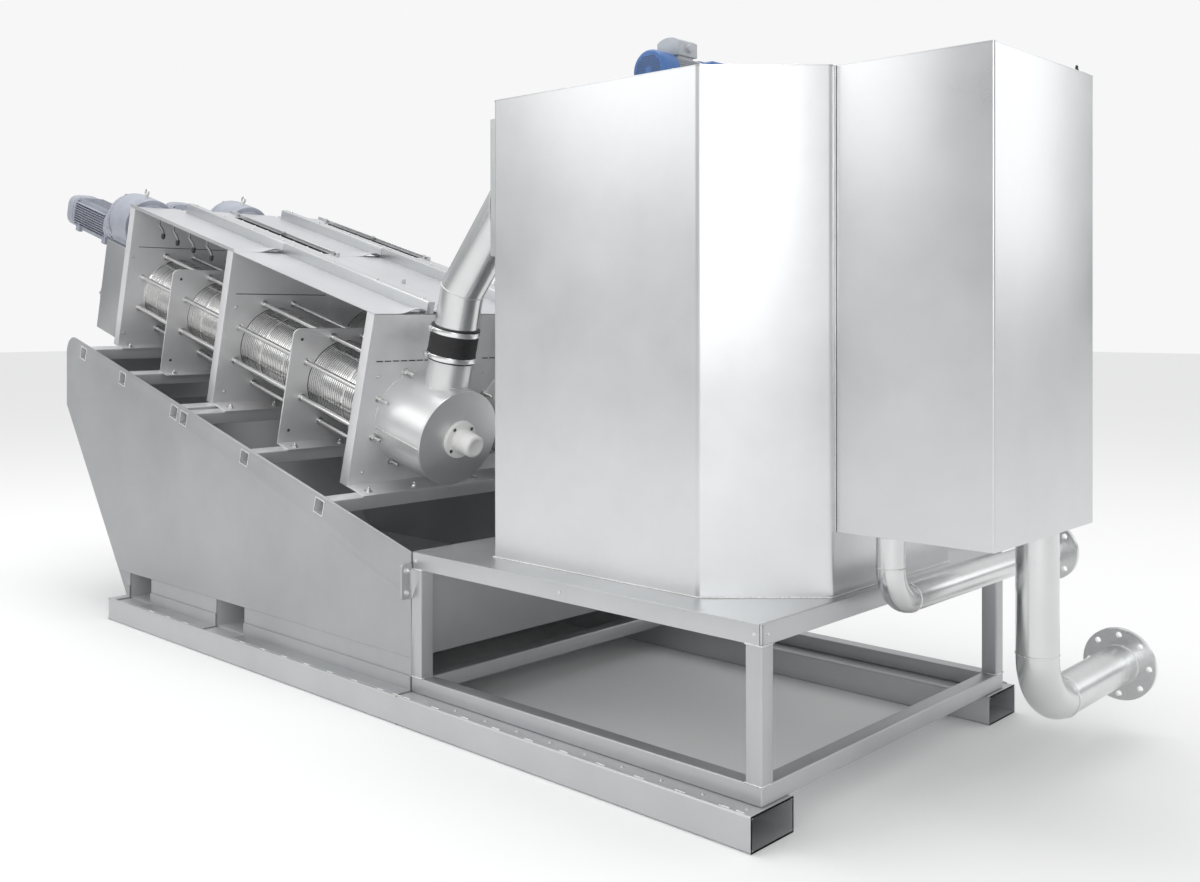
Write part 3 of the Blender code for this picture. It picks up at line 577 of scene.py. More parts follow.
def drum_tree():
    """A row of rings at a pitch, every second one a little smaller, each floating by a seeded amount."""
    group = bpy.data.node_groups.new("ring_pack", "GeometryNodeTree")
    socket(group, "Place", "NodeSocketGeometry")
    socket(group, "Ring", "NodeSocketObject")
    socket(group, "Count", "NodeSocketInt", 50)
    socket(group, "Pitch", "NodeSocketFloat", 0.008)
    socket(group, "Float", "NodeSocketFloat", 0.0005)
    socket(group, "Tilt", "NodeSocketVector")
    socket(group, "Seed", "NodeSocketInt", 2)
    socket(group, "Finish", "NodeSocketMaterial")
    group.interface.new_socket(name="Pack", in_out="OUTPUT", socket_type="NodeSocketGeometry")
    nodes, links = group.nodes, group.links
    given = nodes.new("NodeGroupInput")
    out = nodes.new("NodeGroupOutput")
    step = nodes.new("ShaderNodeCombineXYZ")
    back = nodes.new("ShaderNodeMath")
    back.operation = "MULTIPLY"
    back.inputs[1].default_value = -1.0
    links.new(given.outputs["Pitch"], back.inputs[0])
    links.new(back.outputs["Value"], step.inputs["X"])
    row = nodes.new("GeometryNodeMeshLine")
    row.mode = "OFFSET"
    links.new(given.outputs["Count"], row.inputs["Count"])
    links.new(step.outputs["Vector"], row.inputs["Offset"])
    shape = nodes.new("GeometryNodeObjectInfo")
    shape.inputs["As Instance"].default_value = True
    links.new(given.outputs["Ring"], shape.inputs["Object"])
    index = nodes.new("GeometryNodeInputIndex")
    odd = nodes.new("ShaderNodeMath")
    odd.operation = "MODULO"
    odd.inputs[1].default_value = 2.0
    links.new(index.outputs["Index"], odd.inputs[0])
    smaller = nodes.new("ShaderNodeMapRange")
    smaller.inputs["To Min"].default_value = 1.0
    smaller.inputs["To Max"].default_value = 0.992
    links.new(odd.outputs["Value"], smaller.inputs["Value"])
    size = nodes.new("ShaderNodeCombineXYZ")
    size.inputs["X"].default_value = 1.0
    links.new(smaller.outputs["Result"], size.inputs["Y"])
    links.new(smaller.outputs["Result"], size.inputs["Z"])
    copies = nodes.new("GeometryNodeInstanceOnPoints")
    links.new(row.outputs["Mesh"], copies.inputs["Points"])
    links.new(shape.outputs["Geometry"], copies.inputs["Instance"])
    links.new(size.outputs["Vector"], copies.inputs["Scale"])
    drift = nodes.new("FunctionNodeRandomValue")
    drift.data_type = "FLOAT_VECTOR"
    links.new(given.outputs["Seed"], drift.inputs["Seed"])
    low = nodes.new("ShaderNodeCombineXYZ")
    high = nodes.new("ShaderNodeCombineXYZ")
    minus = nodes.new("ShaderNodeMath")
    minus.operation = "MULTIPLY"
    minus.inputs[1].default_value = -1.0
    links.new(given.outputs["Float"], minus.inputs[0])
    for part in "YZ":
        links.new(minus.outputs["Value"], low.inputs[part])
        links.new(given.outputs["Float"], high.inputs[part])
    links.new(low.outputs["Vector"], drift.inputs[0])
    links.new(high.outputs["Vector"], drift.inputs[1])
    moved = nodes.new("GeometryNodeTranslateInstances")
    moved.inputs["Local Space"].default_value = False
    links.new(copies.outputs["Instances"], moved.inputs["Instances"])
    links.new(drift.outputs[0], moved.inputs["Translation"])
    real = nodes.new("GeometryNodeRealizeInstances")
    links.new(moved.outputs["Instances"], real.inputs["Geometry"])
    coat = nodes.new("GeometryNodeSetMaterial")
    links.new(real.outputs["Geometry"], coat.inputs["Geometry"])
    links.new(given.outputs["Finish"], coat.inputs["Material"])
    links.new(coat.outputs["Geometry"], out.inputs["Pack"])
    return group


ring_pack = drum_tree()
for side, tilt in unit_frames.items():
    packs = bmesh.new()
    for bay, (front, rear, pitch) in enumerate(BAYS):
        count = round((front - rear) / pitch)
        pitch = (front - rear) / count
        ring = bpy.data.objects.new("ring", ring_shape(0.1546, 0.1480, pitch * (0.78 if bay < 2 else 0.88)))
        bpy.context.scene.collection.objects.link(ring)
        seed_point = bpy.data.meshes.new("bay_place")
        seed_point.from_pydata([(0, 0, 0)], [], [])
        values = {"Ring": ring, "Count": count, "Pitch": pitch, "Seed": 2 + bay, "Finish": ring_steel}
        pack = evaluated("bay", seed_point, ring_pack, values)
        bpy.data.objects.remove(ring, do_unlink=True)
        pack.transform(tilt @ Matrix.Translation((front - pitch / 2, 0, 0.255)))
        packs.from_mesh(pack)
    mesh = bpy.data.meshes.new(f"drum_rings_{side}")
    packs.to_mesh(mesh)
    packs.free()
    settle(shown(f"drum_rings_{side}", mesh, ring_steel, 40), "bright_steel", f"drum_{side}")
    # A near-black cylinder inside the rings: painted shade for the dark seen between the rings.
    body = bmesh.new()
    middle = tilt @ Matrix.Translation((0, 0, 0.255))
    add_turned(body, [(-0.0070, 0), (-0.0070, 0.1490), (-1.8270, 0.1490), (-1.8270, 0)], middle, 48)
    settle(shown(f"drum_core_{side}", made("drum_shade_core", body), dark_steel), "steel", f"drum_{side}")
    body = bmesh.new()
    for x in (-0.0103, -1.8270):
        edge = [(x, 0.150), (x, 0.1570), (x + 0.0008, 0.1580), (x + 0.0032, 0.1580), (x + 0.0040, 0.1570), (x + 0.0040, 0.150)]
        add_turned(body, edge, middle, 72, closed=True)
    for x in (-0.055, -0.231, -0.645, -0.812, -1.075, -1.300, -1.560, -1.700):
        band = [(x, 0.1500), (x, 0.1562), (x - 0.0005, 0.1566), (x - 0.0105, 0.1566), (x - 0.0110, 0.1562), (x - 0.0110, 0.1500)]
        add_turned(body, band, middle, 64, closed=True)
    settle(shown(f"drum_bands_{side}", made("drum_bands", body), rod_steel), "bright_steel", f"drum_{side}")
    rod = bmesh.new()
    outline = [(-0.0065, 0), (-0.0065, 0.0070), (-0.0080, 0.0080)]
    for front, rear in ((-0.022, -0.454), (-0.484, -0.956), (-0.986, -1.408), (-1.438, -1.812)):
        outline += [(front, 0.0080), (front, 0.0093), (front - 0.0008, 0.0098), (rear + 0.0008, 0.0098), (rear, 0.0093), (rear, 0.0080)]
    outline += [(-1.8250, 0.0080), (-1.8265, 0.0070), (-1.8265, 0)]
    add_turned(rod, outline, Matrix(), 20)
    rods = [middle @ Matrix.Translation((0, 0.185 * math.cos(a), 0.185 * math.sin(a))) for a in ROD_ANGLES]
    bars = placed(f"tie_rods_{side}", made("rod", rod), rods, rod_steel)
    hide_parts(f"drum_{side}")

# Inlet chamber: a drum of rolled sheet welded to each unit's front plate, closed by a disc, with a short neck on
# top. Its lengthwise seam and the ring round its foot are welded and left as they are.

chamber_steel = stainless("rolled_chamber_steel", (0.70, 0.71, 0.71), 0.32, clouds=0.06, matte=0.30)


def stood(matrix, x, y, z):
    """A frame at a unit's point whose X axis points along the unit's up direction."""
    return matrix @ Matrix.Translation((x, y, z)) @ Matrix.Rotation(math.radians(-90), 4, "Y")


chamber_beads = []
for side, tilt in unit_frames.items():
    body = bmesh.new()
    middle = tilt @ Matrix.Translation((0, 0, 0.255))
    wall = [(0.0005, 0), (0.0005, 0.1750), (0.2600, 0.1750), (0.2600, 0.1738), (0.2615, 0.1738), (0.2615, 0.1750)]
    wall += [(0.2652, 0.1750), (0.2666, 0.1742), (0.2670, 0.1728), (0.2670, 0)]
    add_turned(body, wall, middle, 96)
    neck = [(-0.02, 0), (-0.02, 0.0780), (0.3175, 0.0780), (0.3190, 0.0765), (0.3190, 0)]
    add_turned(body, neck, stood(tilt, 0.15, 0, 0.255), 64)
    settle(shown(f"chamber_{side}", made("chamber", body), chamber_steel), "steel", f"inlet_chamber_{side}")
    around = [2 * math.pi * i / 72 for i in range(73)]
    chamber_beads.append([middle @ Vector((0.0020, 0.1755 * math.cos(a), 0.1755 * math.sin(a))) for a in around])
    saddle = []
    for a in around:
        y = 0.0790 * math.sin(a)
        saddle.append(middle @ Vector((0.15 + 0.0790 * math.cos(a), y, math.sqrt(0.1752 ** 2 - y * y))))
    chamber_beads.append(saddle)
    y, z = -0.137, 0.225 - 0.255
    lean = math.sqrt(0.1752 ** 2 - z * z)
    chamber_beads.append([middle @ Vector((x, -lean, z)) for x in (0.004, 0.130, 0.259)])
weld("chamber_beads", chamber_beads, bead_steel, width=0.0050, height=0.0028, pitch=0.0034)

# Bearing cap: a turned white plastic cap on the middle of each chamber's disc, with a round flange held by four
# sunk socket screws and a straight nose that covers the screw shaft's end.

cap_plastic = bpy.data.materials.new("turned_white_plastic")
cap_plastic.use_nodes = True
shader = cap_plastic.node_tree.nodes["Principled BSDF"]
shader.inputs["IOR"].default_value = 1.48
nodes, links = cap_plastic.node_tree.nodes, cap_plastic.node_tree.links
spot = nodes.new("ShaderNodeTexNoise")
spot.inputs["Scale"].default_value = 38.0
spot.inputs["Detail"].default_value = 5.0
coordinates = nodes.new("ShaderNodeTexCoord")
links.new(coordinates.outputs["Object"], spot.inputs["Vector"])
tint = nodes.new("ShaderNodeValToRGB")
tint.color_ramp.elements[0].color = (0.86, 0.86, 0.84, 1)
tint.color_ramp.elements[1].color = (0.92, 0.92, 0.91, 1)
links.new(spot.outputs["Fac"], tint.inputs["Fac"])
links.new(tint.outputs["Color"], shader.inputs["Base Color"])
gloss = nodes.new("ShaderNodeMapRange")
gloss.inputs["To Min"].default_value = 0.34
gloss.inputs["To Max"].default_value = 0.50
links.new(spot.outputs["Fac"], gloss.inputs["Value"])
links.new(gloss.outputs["Result"], shader.inputs["Roughness"])
cap_screws = []
for side, tilt in unit_frames.items():
    body = bmesh.new()
    middle = tilt @ Matrix.Translation((0.2673, 0, 0.255))
    outline = [(0, 0), (0, 0.0675), (0.0010, 0.0685), (0.0130, 0.0685), (0.0150, 0.0665), (0.0150, 0.0445)]
    outline += [(0.0160, 0.0425), (0.0180, 0.0415), (0.0800, 0.0410), (0.0900, 0.0395), (0.0940, 0.0350), (0.0950, 0.0290)]
    outline += [(0.0938, 0.0275), (0.0938, 0)]
    add_turned(body, outline, middle, 72)
    settle(shown(f"cap_{side}", made("cap", body), cap_plastic, 40), "white_plastic", f"bearing_cap_{side}")
    for k in range(4):
        a = math.radians(45 + 90 * k)
        cap_screws.append(middle @ facing((0.0148, 0.0555 * math.cos(a), 0.0555 * math.sin(a)), (1, 0, 0)))
screw = bmesh.new()
add_turned(screw, [(-0.001, 0), (-0.001, 0.0062), (0.0012, 0.0062), (0.0016, 0.0056), (0.0016, 0.0034), (0.0002, 0.0030), (0.0002, 0)], Matrix(), 18)
placed("cap_screws", made("cap_screw", screw), cap_screws, dark_steel)

# Coupling: a sleeve of black reinforced rubber that joins each chamber's neck to its feed pipe, squeezed at both
# ends by a band clamp of bright strip with a worm screw.

hose_rubber = bpy.data.materials.new("black_hose_rubber")
hose_rubber.use_nodes = True
shader = hose_rubber.node_tree.nodes["Principled BSDF"]
shader.inputs["Specular IOR Level"].default_value = 0.35
nodes, links = hose_rubber.node_tree.nodes, hose_rubber.node_tree.links
coordinates = nodes.new("ShaderNodeTexCoord")
cloth = nodes.new("ShaderNodeTexNoise")
cloth.inputs["Scale"].default_value = 240.0
cloth.inputs["Detail"].default_value = 4.0
links.new(coordinates.outputs["Object"], cloth.inputs["Vector"])
tint = nodes.new("ShaderNodeValToRGB")
tint.color_ramp.elements[0].color = (0.012, 0.012, 0.013, 1)
tint.color_ramp.elements[1].color = (0.040, 0.040, 0.042, 1)
links.new(cloth.outputs["Fac"], tint.inputs["Fac"])
links.new(tint.outputs["Color"], shader.inputs["Base Color"])
gloss = nodes.new("ShaderNodeMapRange")
gloss.inputs["To Min"].default_value = 0.48
gloss.inputs["To Max"].default_value = 0.72
links.new(cloth.outputs["Fac"], gloss.inputs["Value"])
links.new(gloss.outputs["Result"], shader.inputs["Roughness"])
bump = nodes.new("ShaderNodeBump")
bump.inputs["Strength"].default_value = 0.35
bump.inputs["Distance"].default_value = 0.0006
links.new(cloth.outputs["Fac"], bump.inputs["Height"])
links.new(bump.outputs["Normal"], shader.inputs["Normal"])
band_steel = stainless("bright_band_steel", (0.80, 0.80, 0.80), 0.18, clouds=0.05, grain=1100.0, depth=0.06)
for side, tilt in unit_frames.items():
    sleeve = stood(tilt, 0.15, 0, 0.514)
    body = bmesh.new()
    wall = [(0.000, 0.0784), (0.000, 0.0868), (0.0015, 0.0880), (0.0260, 0.0880), (0.0290, 0.0868), (0.0400, 0.0864)]
    wall += [(0.0820, 0.0864), (0.0930, 0.0868), (0.0960, 0.0880), (0.1205, 0.0880), (0.1220, 0.0868), (0.1220, 0.0784)]
    add_turned(body, wall, sleeve, 72, closed=True)
    for x in (0.0500, 0.0610, 0.0720):
        add_turned(body, [(x - 0.002, 0.0850), (x - 0.001, 0.0870), (x + 0.001, 0.0870), (x + 0.002, 0.0850)], sleeve, 72, closed=True)
    settle(shown(f"sleeve_{side}", made("sleeve", body), hose_rubber, 40), "rubber", f"coupling_{side}")
    body = bmesh.new()
    for x in (0.0050, 0.0990):
        strip = [(x, 0.0878), (x, 0.0892), (x + 0.0012, 0.0898), (x + 0.0168, 0.0898), (x + 0.0180, 0.0892), (x + 0.0180, 0.0878)]
        add_turned(body, strip, sleeve, 72, closed=True)
        screw_box = sleeve @ Matrix.Rotation(math.radians(160), 4, "X")
        add_block(body, (x + 0.001, 0.0880, -0.017), (x + 0.017, 0.1010, 0.013), screw_box, 0.0020)
        worm = screw_box @ Matrix.Translation((x + 0.009, 0.0960, 0)) @ Matrix.Rotation(math.radians(-90), 4, "Y")
        add_turned(body, [(-0.021, 0), (-0.021, 0.0050), (0.0200, 0.0050), (0.0200, 0.0068), (0.0290, 0.0068), (0.0300, 0.0058), (0.0300, 0)], worm, 8)
    settle(shown(f"band_clamps_{side}", made("band_clamps", body), band_steel), "bright_steel")

# Feed pipe: thin rolled stainless pipe from each coupling up to the head box on the tank's rear, mitred once and
# welded round the mitre and round its end.


def add_pipe(body, stations, side_way, radius, sides=64):
    """A round bar through rings, each given by its centre and its in-plane direction."""
    rings = []
    for centre, across in stations:
        angles = (2 * math.pi * i / sides for i in range(sides))
        rings.append([body.verts.new(centre + side_way * (radius * math.cos(a)) + across * (radius * math.sin(a))) for a in angles])
    body.faces.new(rings[0])
    body.faces.new(rings[-1])
    for low, high in zip(rings, rings[1:]):
        for i in range(sides):
            j = (i + 1) % sides
            body.faces.new([low[i], low[j], high[j], high[i]])


pipe_steel = stainless("rolled_pipe_steel", (0.68, 0.69, 0.69), 0.22, clouds=0.06, grain=900.0, depth=0.06)
level = Vector((0, 1, 0))
pipe_beads = []
for side, middle in UNIT_MIDDLES.items():
    tilt = unit_frames[side]
    foot = tilt @ Vector((0.15, 0, 0))
    rise = Vector((math.cos(math.radians(50)), 0, math.sin(math.radians(50))))
    mitre = foot + slope_up * 0.771
    bisector = (slope_up + rise).normalized()
    mitre_across = Vector((bisector.z, 0, -bisector.x)) / bisector.dot(slope_up)
    end_x = at(-1.3623, 0, 0).x
    end = mitre + rise * ((end_x - mitre.x) / rise.x)
    end_across = Vector((0, 0, -1)) / rise.x
    body = bmesh.new()
    add_pipe(body, [(foot + slope_up * 0.5743, slope_run), (mitre, mitre_across), (end, end_across)], level, 0.078)
    settle(shown(f"feed_{side}", made("feed", body), pipe_steel), "bright_steel", f"feed_pipe_{side}")
    around = [2 * math.pi * i / 60 for i in range(61)]
    for centre, across in ((mitre, mitre_across), (end - rise * 0.003, end_across)):
        pipe_beads.append([centre + level * (0.0786 * math.cos(a)) + across * (0.0786 * math.sin(a)) for a in around])
weld("feed_pipe_beads", pipe_beads, bead_steel, width=0.0046, height=0.0026, pitch=0.0034)

# Covers: thin sheets laid over each unit in two bays, springing up a little beside the rail at their ends, and held
# down by a folded rail along the middle. The rear bays have a long slot on the far side for the wash water.

cover_steel = stainless("satin_cover_steel", (0.58, 0.59, 0.61), 0.44, clouds=0.04, matte=0.30)
rail_steel = stainless("folded_rail_steel", (0.60, 0.61, 0.62), 0.36, clouds=0.05, matte=0.15)


def sheet_lift(x, y, ends):
    """How far a cover sheet springs up at a point: most at its ends, near the rail."""
    near_rail = math.exp(-(((abs(y) - 0.055) / 0.050) ** 2))
    lift = sum(0.0200 * math.exp(-(((x - end) / 0.060) ** 2)) for end in ends)
    crease = 0.0005 * math.sin(x * 21.0 + y * 9.0) * math.exp(-(((abs(y) - 0.12) / 0.09) ** 2))
    return max(0.0, lift * near_rail + crease)


def add_sheet(body, xs, ys, ends, tilt, holes=()):
    """A 3 mm sheet as a closed grid, with the cells inside a hole left out."""
    layers = []
    for z in (0.6394, 0.6424):
        layers.append([[body.verts.new(tilt @ Vector((x, y, z + sheet_lift(x, y, ends)))) for y in ys] for x in xs])

    def open_at(i, j):
        x, y = (xs[i] + xs[i + 1]) / 2, (ys[j] + ys[j + 1]) / 2
        return any(x0 < x < x1 and y0 < y < y1 for x0, x1, y0, y1 in holes)

    rims = {}
    for i in range(len(xs) - 1):
        for j in range(len(ys) - 1):
            if open_at(i, j):
                continue
            loop = [(i, j), (i + 1, j), (i + 1, j + 1), (i, j + 1)]
            for layer in layers:
                body.faces.new([layer[a][b] for a, b in loop])
            for one, other in zip(loop, loop[1:] + loop[:1]):
                key = tuple(sorted((one, other)))
                rims[key] = rims.get(key, 0) + 1
    for (one, other), count in rims.items():
        if count == 1:
            low, high = layers
            body.faces.new([low[one[0]][one[1]], low[other[0]][other[1]], high[other[0]][other[1]], high[one[0]][one[1]]])


def steps(low, high, count):
    return [low + (high - low) * i / count for i in range(count + 1)]


for side, tilt in unit_frames.items():
    body = bmesh.new()
    near_ys = steps(-0.2487, -0.0105, 14)
    far_ys = steps(0.0105, 0.2037, 11) + [0.2212, 0.2387, 0.2487]
    add_sheet(body, steps(-0.9692, -0.0005, 44), near_ys, (-0.0005,), tilt)
    add_sheet(body, steps(-0.9692, -0.0005, 44), far_ys, (-0.0005,), tilt)
    add_sheet(body, steps(-1.8725, -0.9708, 40), near_ys, (-0.9708,), tilt)
    slotted = [-1.8725] + steps(-1.760, -1.000, 36) + [-0.9708]
    add_sheet(body, slotted, far_ys, (-0.9708,), tilt, holes=((-1.76, -1.0, 0.2037, 0.2387),))
    settle(shown(f"cover_sheets_{side}", made("cover_sheets", body), cover_steel, 40), "steel", f"cover_{side}")
    body = bmesh.new()
    rail = [(-0.020, 0.6395), (0.015, 0.6395), (0.015, 0.687), (-0.020, 0.687)]
    for x0, x1 in ((-1.800, -0.9712), (-0.9688, -0.0005)):
        add_prism(body, rail, x0, x1, tilt, 0.0030, 3)
    lip = [(0.2447, 0.6425), (0.2487, 0.6425), (0.2487, 0.6543), (0.2447, 0.6543)]
    add_prism(body, lip, -1.8725, -0.971, tilt, 0.0008, 1)
    add_prism(body, [(y - 0.4946, z) for y, z in lip], -1.8725, -0.971, tilt, 0.0008, 1)
    for x in (-1.790, -1.385, -0.985, -0.950, -0.480, -0.020):
        add_block(body, (x - 0.006, 0.232, 0.6420), (x + 0.006, 0.244, 0.6600), tilt, 0.0012)
    settle(shown(f"cover_rail_{side}", made("cover_rail", body), rail_steel, 40), "steel", f"cover_{side}")
rail_places = []
for side, tilt in unit_frames.items():
    for x in (-1.740, -1.500, -1.250, -1.010, -0.930, -0.640, -0.340, -0.050):
        rail_places.append(tilt @ facing((x, -0.0025, 0.6868), (0, 0, 1)))
placed("rail_screws", bolt_shape(0.010, 0.005, 0.0085), rail_places, bolt_steel)

# Wash nozzles: short bent pipes that hang from the covers' edge over the rear bays' rings, each with a black
# moulded tip, and straight white nozzles over the front bay.

nozzle_plastic = bpy.data.materials.new("moulded_black_tip")
nozzle_plastic.use_nodes = True
shader = nozzle_plastic.node_tree.nodes["Principled BSDF"]
nodes, links = nozzle_plastic.node_tree.nodes, nozzle_plastic.node_tree.links
coordinates = nodes.new("ShaderNodeTexCoord")
grain = nodes.new("ShaderNodeTexNoise")
grain.inputs["Scale"].default_value = 300.0
links.new(coordinates.outputs["Object"], grain.inputs["Vector"])
tint = nodes.new("ShaderNodeValToRGB")
tint.color_ramp.elements[0].color = (0.016, 0.016, 0.017, 1)
tint.color_ramp.elements[1].color = (0.035, 0.035, 0.036, 1)
links.new(grain.outputs["Fac"], tint.inputs["Fac"])
links.new(tint.outputs["Color"], shader.inputs["Base Color"])
shader.inputs["Roughness"].default_value = 0.42


def add_tube(body, points, radius, matrix, sides=14):
    """A thin round tube along points, its ends closed."""
    rings = []
    count = len(points)
    up = Vector((0, 1, 0))
    for i, point in enumerate(points):
        ahead = (Vector(points[min(i + 1, count - 1)]) - Vector(points[max(i - 1, 0)])).normalized()
        across = ahead.cross(up).normalized() if abs(ahead.dot(up)) < 0.95 else ahead.cross(Vector((1, 0, 0))).normalized()
        other = ahead.cross(across)
        ring = []
        for k in range(sides):
            a = 2 * math.pi * k / sides
            ring.append(body.verts.new(matrix @ (Vector(point) + across * (radius * math.cos(a)) + other * (radius * math.sin(a)))))
        rings.append(ring)
    body.faces.new(rings[0])
    body.faces.new(rings[-1])
    for low, high in zip(rings, rings[1:]):
        for i in range(sides):
            j = (i + 1) % sides
            body.faces.new([low[i], low[j], high[j], high[i]])


# The hook pipes' steel is toned dark as painted shade, for the covers' shadow that they hang in.
hook_shade_steel = stainless("painted_shade_hook_steel", (0.26, 0.26, 0.27), 0.30, clouds=0.10, grain=900.0)
for side, tilt in unit_frames.items():
    pipes, tips = bmesh.new(), bmesh.new()
    for x in (-1.620, -1.490, -1.350, -1.200):
        hook = [(x, -0.235, 0.6390), (x, -0.235, 0.6230)]
        for k in range(1, 7):
            a = math.radians(15 * k)
            hook.append((x + 0.018 * (1 - math.cos(a)), -0.235, 0.6230 - 0.018 * math.sin(a)))
        hook += [(x + 0.026, -0.235, 0.6010), (x + 0.034, -0.232, 0.5930), (x + 0.036, -0.228, 0.5800)]
        add_tube(pipes, hook, 0.0055, tilt)
        tip = tilt @ Matrix.Translation((x + 0.036, -0.228, 0.5810)) @ Matrix.Rotation(math.radians(90), 4, "Y")
        add_turned(tips, [(0, 0), (0, 0.0072), (0.0040, 0.0085), (0.0180, 0.0085), (0.0240, 0.0055), (0.0260, 0.0020), (0.0260, 0)], tip, 16)
    settle(shown(f"wash_pipes_{side}", made("wash_pipes", pipes), hook_shade_steel), "steel")
    settle(shown(f"wash_tips_{side}", made("wash_tips", tips), nozzle_plastic), "rubber")
    body = bmesh.new()
    for i in range(5):
        x = -0.395 + 0.065 * i
        drop = tilt @ Matrix.Translation((x, -0.110, 0.6390)) @ Matrix.Rotation(math.radians(90), 4, "Y")
        spout = [(0, 0), (0, 0.0060), (0.0100, 0.0060), (0.0115, 0.0085), (0.0260, 0.0085), (0.0300, 0.0060), (0.0400, 0.0045), (0.0405, 0)]
        add_turned(body, spout, drop, 16)
    for i in range(7):
        x = -1.710 + 0.110 * i
        stub = tilt @ Matrix.Translation((x, 0.2212, 0.6220)) @ Matrix.Rotation(math.radians(-90), 4, "Y")
        add_turned(body, [(0, 0), (0, 0.0048), (0.0150, 0.0048), (0.0165, 0.0036), (0.0170, 0)], stub, 12)
    settle(shown(f"spray_nozzles_{side}", made("spray_nozzles", body), cap_plastic), "white_plastic")
    bar = bmesh.new()
    add_tube(bar, [(-0.015, -0.110, 0.6310), (-0.250, -0.110, 0.6310), (-0.455, -0.110, 0.6310)], 0.0065, tilt)
    settle(shown(f"wash_bars_{side}", made("wash_bars", bar), band_steel), "bright_steel")
    # Under each slot a black trough of the tips' plastic stands in for the shade inside the slot: painted shade, not a
    # part of the press.
    shade_trough = bmesh.new()
    trough = [(0.1985, 0.6380), (0.2005, 0.6380), (0.2005, 0.6120), (0.2420, 0.6120), (0.2420, 0.6380), (0.2440, 0.6380), (0.2440, 0.6100), (0.1985, 0.6100)]
    add_prism(shade_trough, trough, -1.7800, -0.9800, tilt)
    settle(shown(f"wash_gutter_{side}", made("painted_shade_trough", shade_trough), nozzle_plastic, 0), "rubber")

# Drive housing: a closed box of folded stainless sheet behind each rear plate, with a lift-off rear panel held by
# a small turn latch and two screws. It hides the coupling between the screw shaft and the gearmotor.

housing_steel = stainless("satin_housing_steel", (0.45, 0.46, 0.47), 0.35, clouds=0.06)
latch_screws = []
for side, tilt in unit_frames.items():
    softened(f"drive_housing_{side}", housing_steel, 0.0030, segments=3)
    body = bmesh.new()
    add_block(body, (-2.0622, -0.225, 0.055), (-2.0598, 0.225, 0.428), tilt, 0.0010)
    add_block(body, (-2.0720, -0.012, 0.380), (-2.0620, 0.012, 0.408), tilt, 0.0030)
    add_block(body, (-2.0700, -0.246, 0.170), (-2.0620, -0.226, 0.215), tilt, 0.0030)
    add_turned(body, [(-0.006, 0), (-0.006, 0.0075), (0.0040, 0.0075), (0.0055, 0.0060), (0.0055, 0)], tilt @ Matrix.Translation((-2.066, -0.2440, 0.1925)) @ Matrix.Rotation(math.radians(-90), 4, "Z"), 20)
    settle(shown(f"housing_panel_{side}", made("housing_panel", body), housing_steel), "steel")
    for y in (-0.205, 0.205):
        for z in (0.075, 0.408):
            latch_screws.append(tilt @ facing((-2.0622, y, z), (-1, 0, 0)))
placed("housing_screws", bolt_shape(0.008, 0.003, 0.006, sides=12), latch_screws, bolt_steel)

# Gearmotor: a cast grey-blue helical gear housing standing on the drive housing's top, with a bolted flange and a
# ribbed electric motor behind it. Castings are painted all over; the motor's end cap covers its fan.

gear_paint = bpy.data.materials.new("grey_blue_machine_paint")
gear_paint.use_nodes = True


def enamel(metal, low, high, roughness):
    """Sprayed machine enamel on castings: slightly uneven colour, orange peel, and a thin clear gloss."""
    shader = metal.node_tree.nodes["Principled BSDF"]
    shader.inputs["Coat Weight"].default_value = 0.25
    shader.inputs["Coat Roughness"].default_value = 0.22
    nodes, links = metal.node_tree.nodes, metal.node_tree.links
    coordinates = nodes.new("ShaderNodeTexCoord")
    cloud = nodes.new("ShaderNodeTexNoise")
    cloud.inputs["Scale"].default_value = 14.0
    cloud.inputs["Detail"].default_value = 6.0
    peel = nodes.new("ShaderNodeTexNoise")
    peel.inputs["Scale"].default_value = 420.0
    peel.inputs["Detail"].default_value = 2.0
    links.new(coordinates.outputs["Object"], cloud.inputs["Vector"])
    links.new(coordinates.outputs["Object"], peel.inputs["Vector"])
    tint = nodes.new("ShaderNodeValToRGB")
    tint.color_ramp.elements[0].position = 0.35
    tint.color_ramp.elements[0].color = (*low, 1)
    tint.color_ramp.elements[1].position = 0.65
    tint.color_ramp.elements[1].color = (*high, 1)
    links.new(cloud.outputs["Fac"], tint.inputs["Fac"])
    links.new(tint.outputs["Color"], shader.inputs["Base Color"])
    gloss = nodes.new("ShaderNodeMapRange")
    gloss.inputs["To Min"].default_value = roughness - 0.06
    gloss.inputs["To Max"].default_value = roughness + 0.08
    links.new(cloud.outputs["Fac"], gloss.inputs["Value"])
    links.new(gloss.outputs["Result"], shader.inputs["Roughness"])
    bump = nodes.new("ShaderNodeBump")
    bump.inputs["Strength"].default_value = 0.30
    bump.inputs["Distance"].default_value = 0.0005
    links.new(peel.outputs["Fac"], bump.inputs["Height"])
    links.new(bump.outputs["Normal"], shader.inputs["Normal"])


enamel(gear_paint, (0.300, 0.320, 0.375), (0.355, 0.375, 0.430), 0.42)


def squared(angle):
    """A point on a rounded square, for the motor's squarish body."""
    cos, sin = math.cos(angle), math.sin(angle)
    return math.copysign(abs(cos) ** 0.55, cos), math.copysign(abs(sin) ** 0.55, sin)


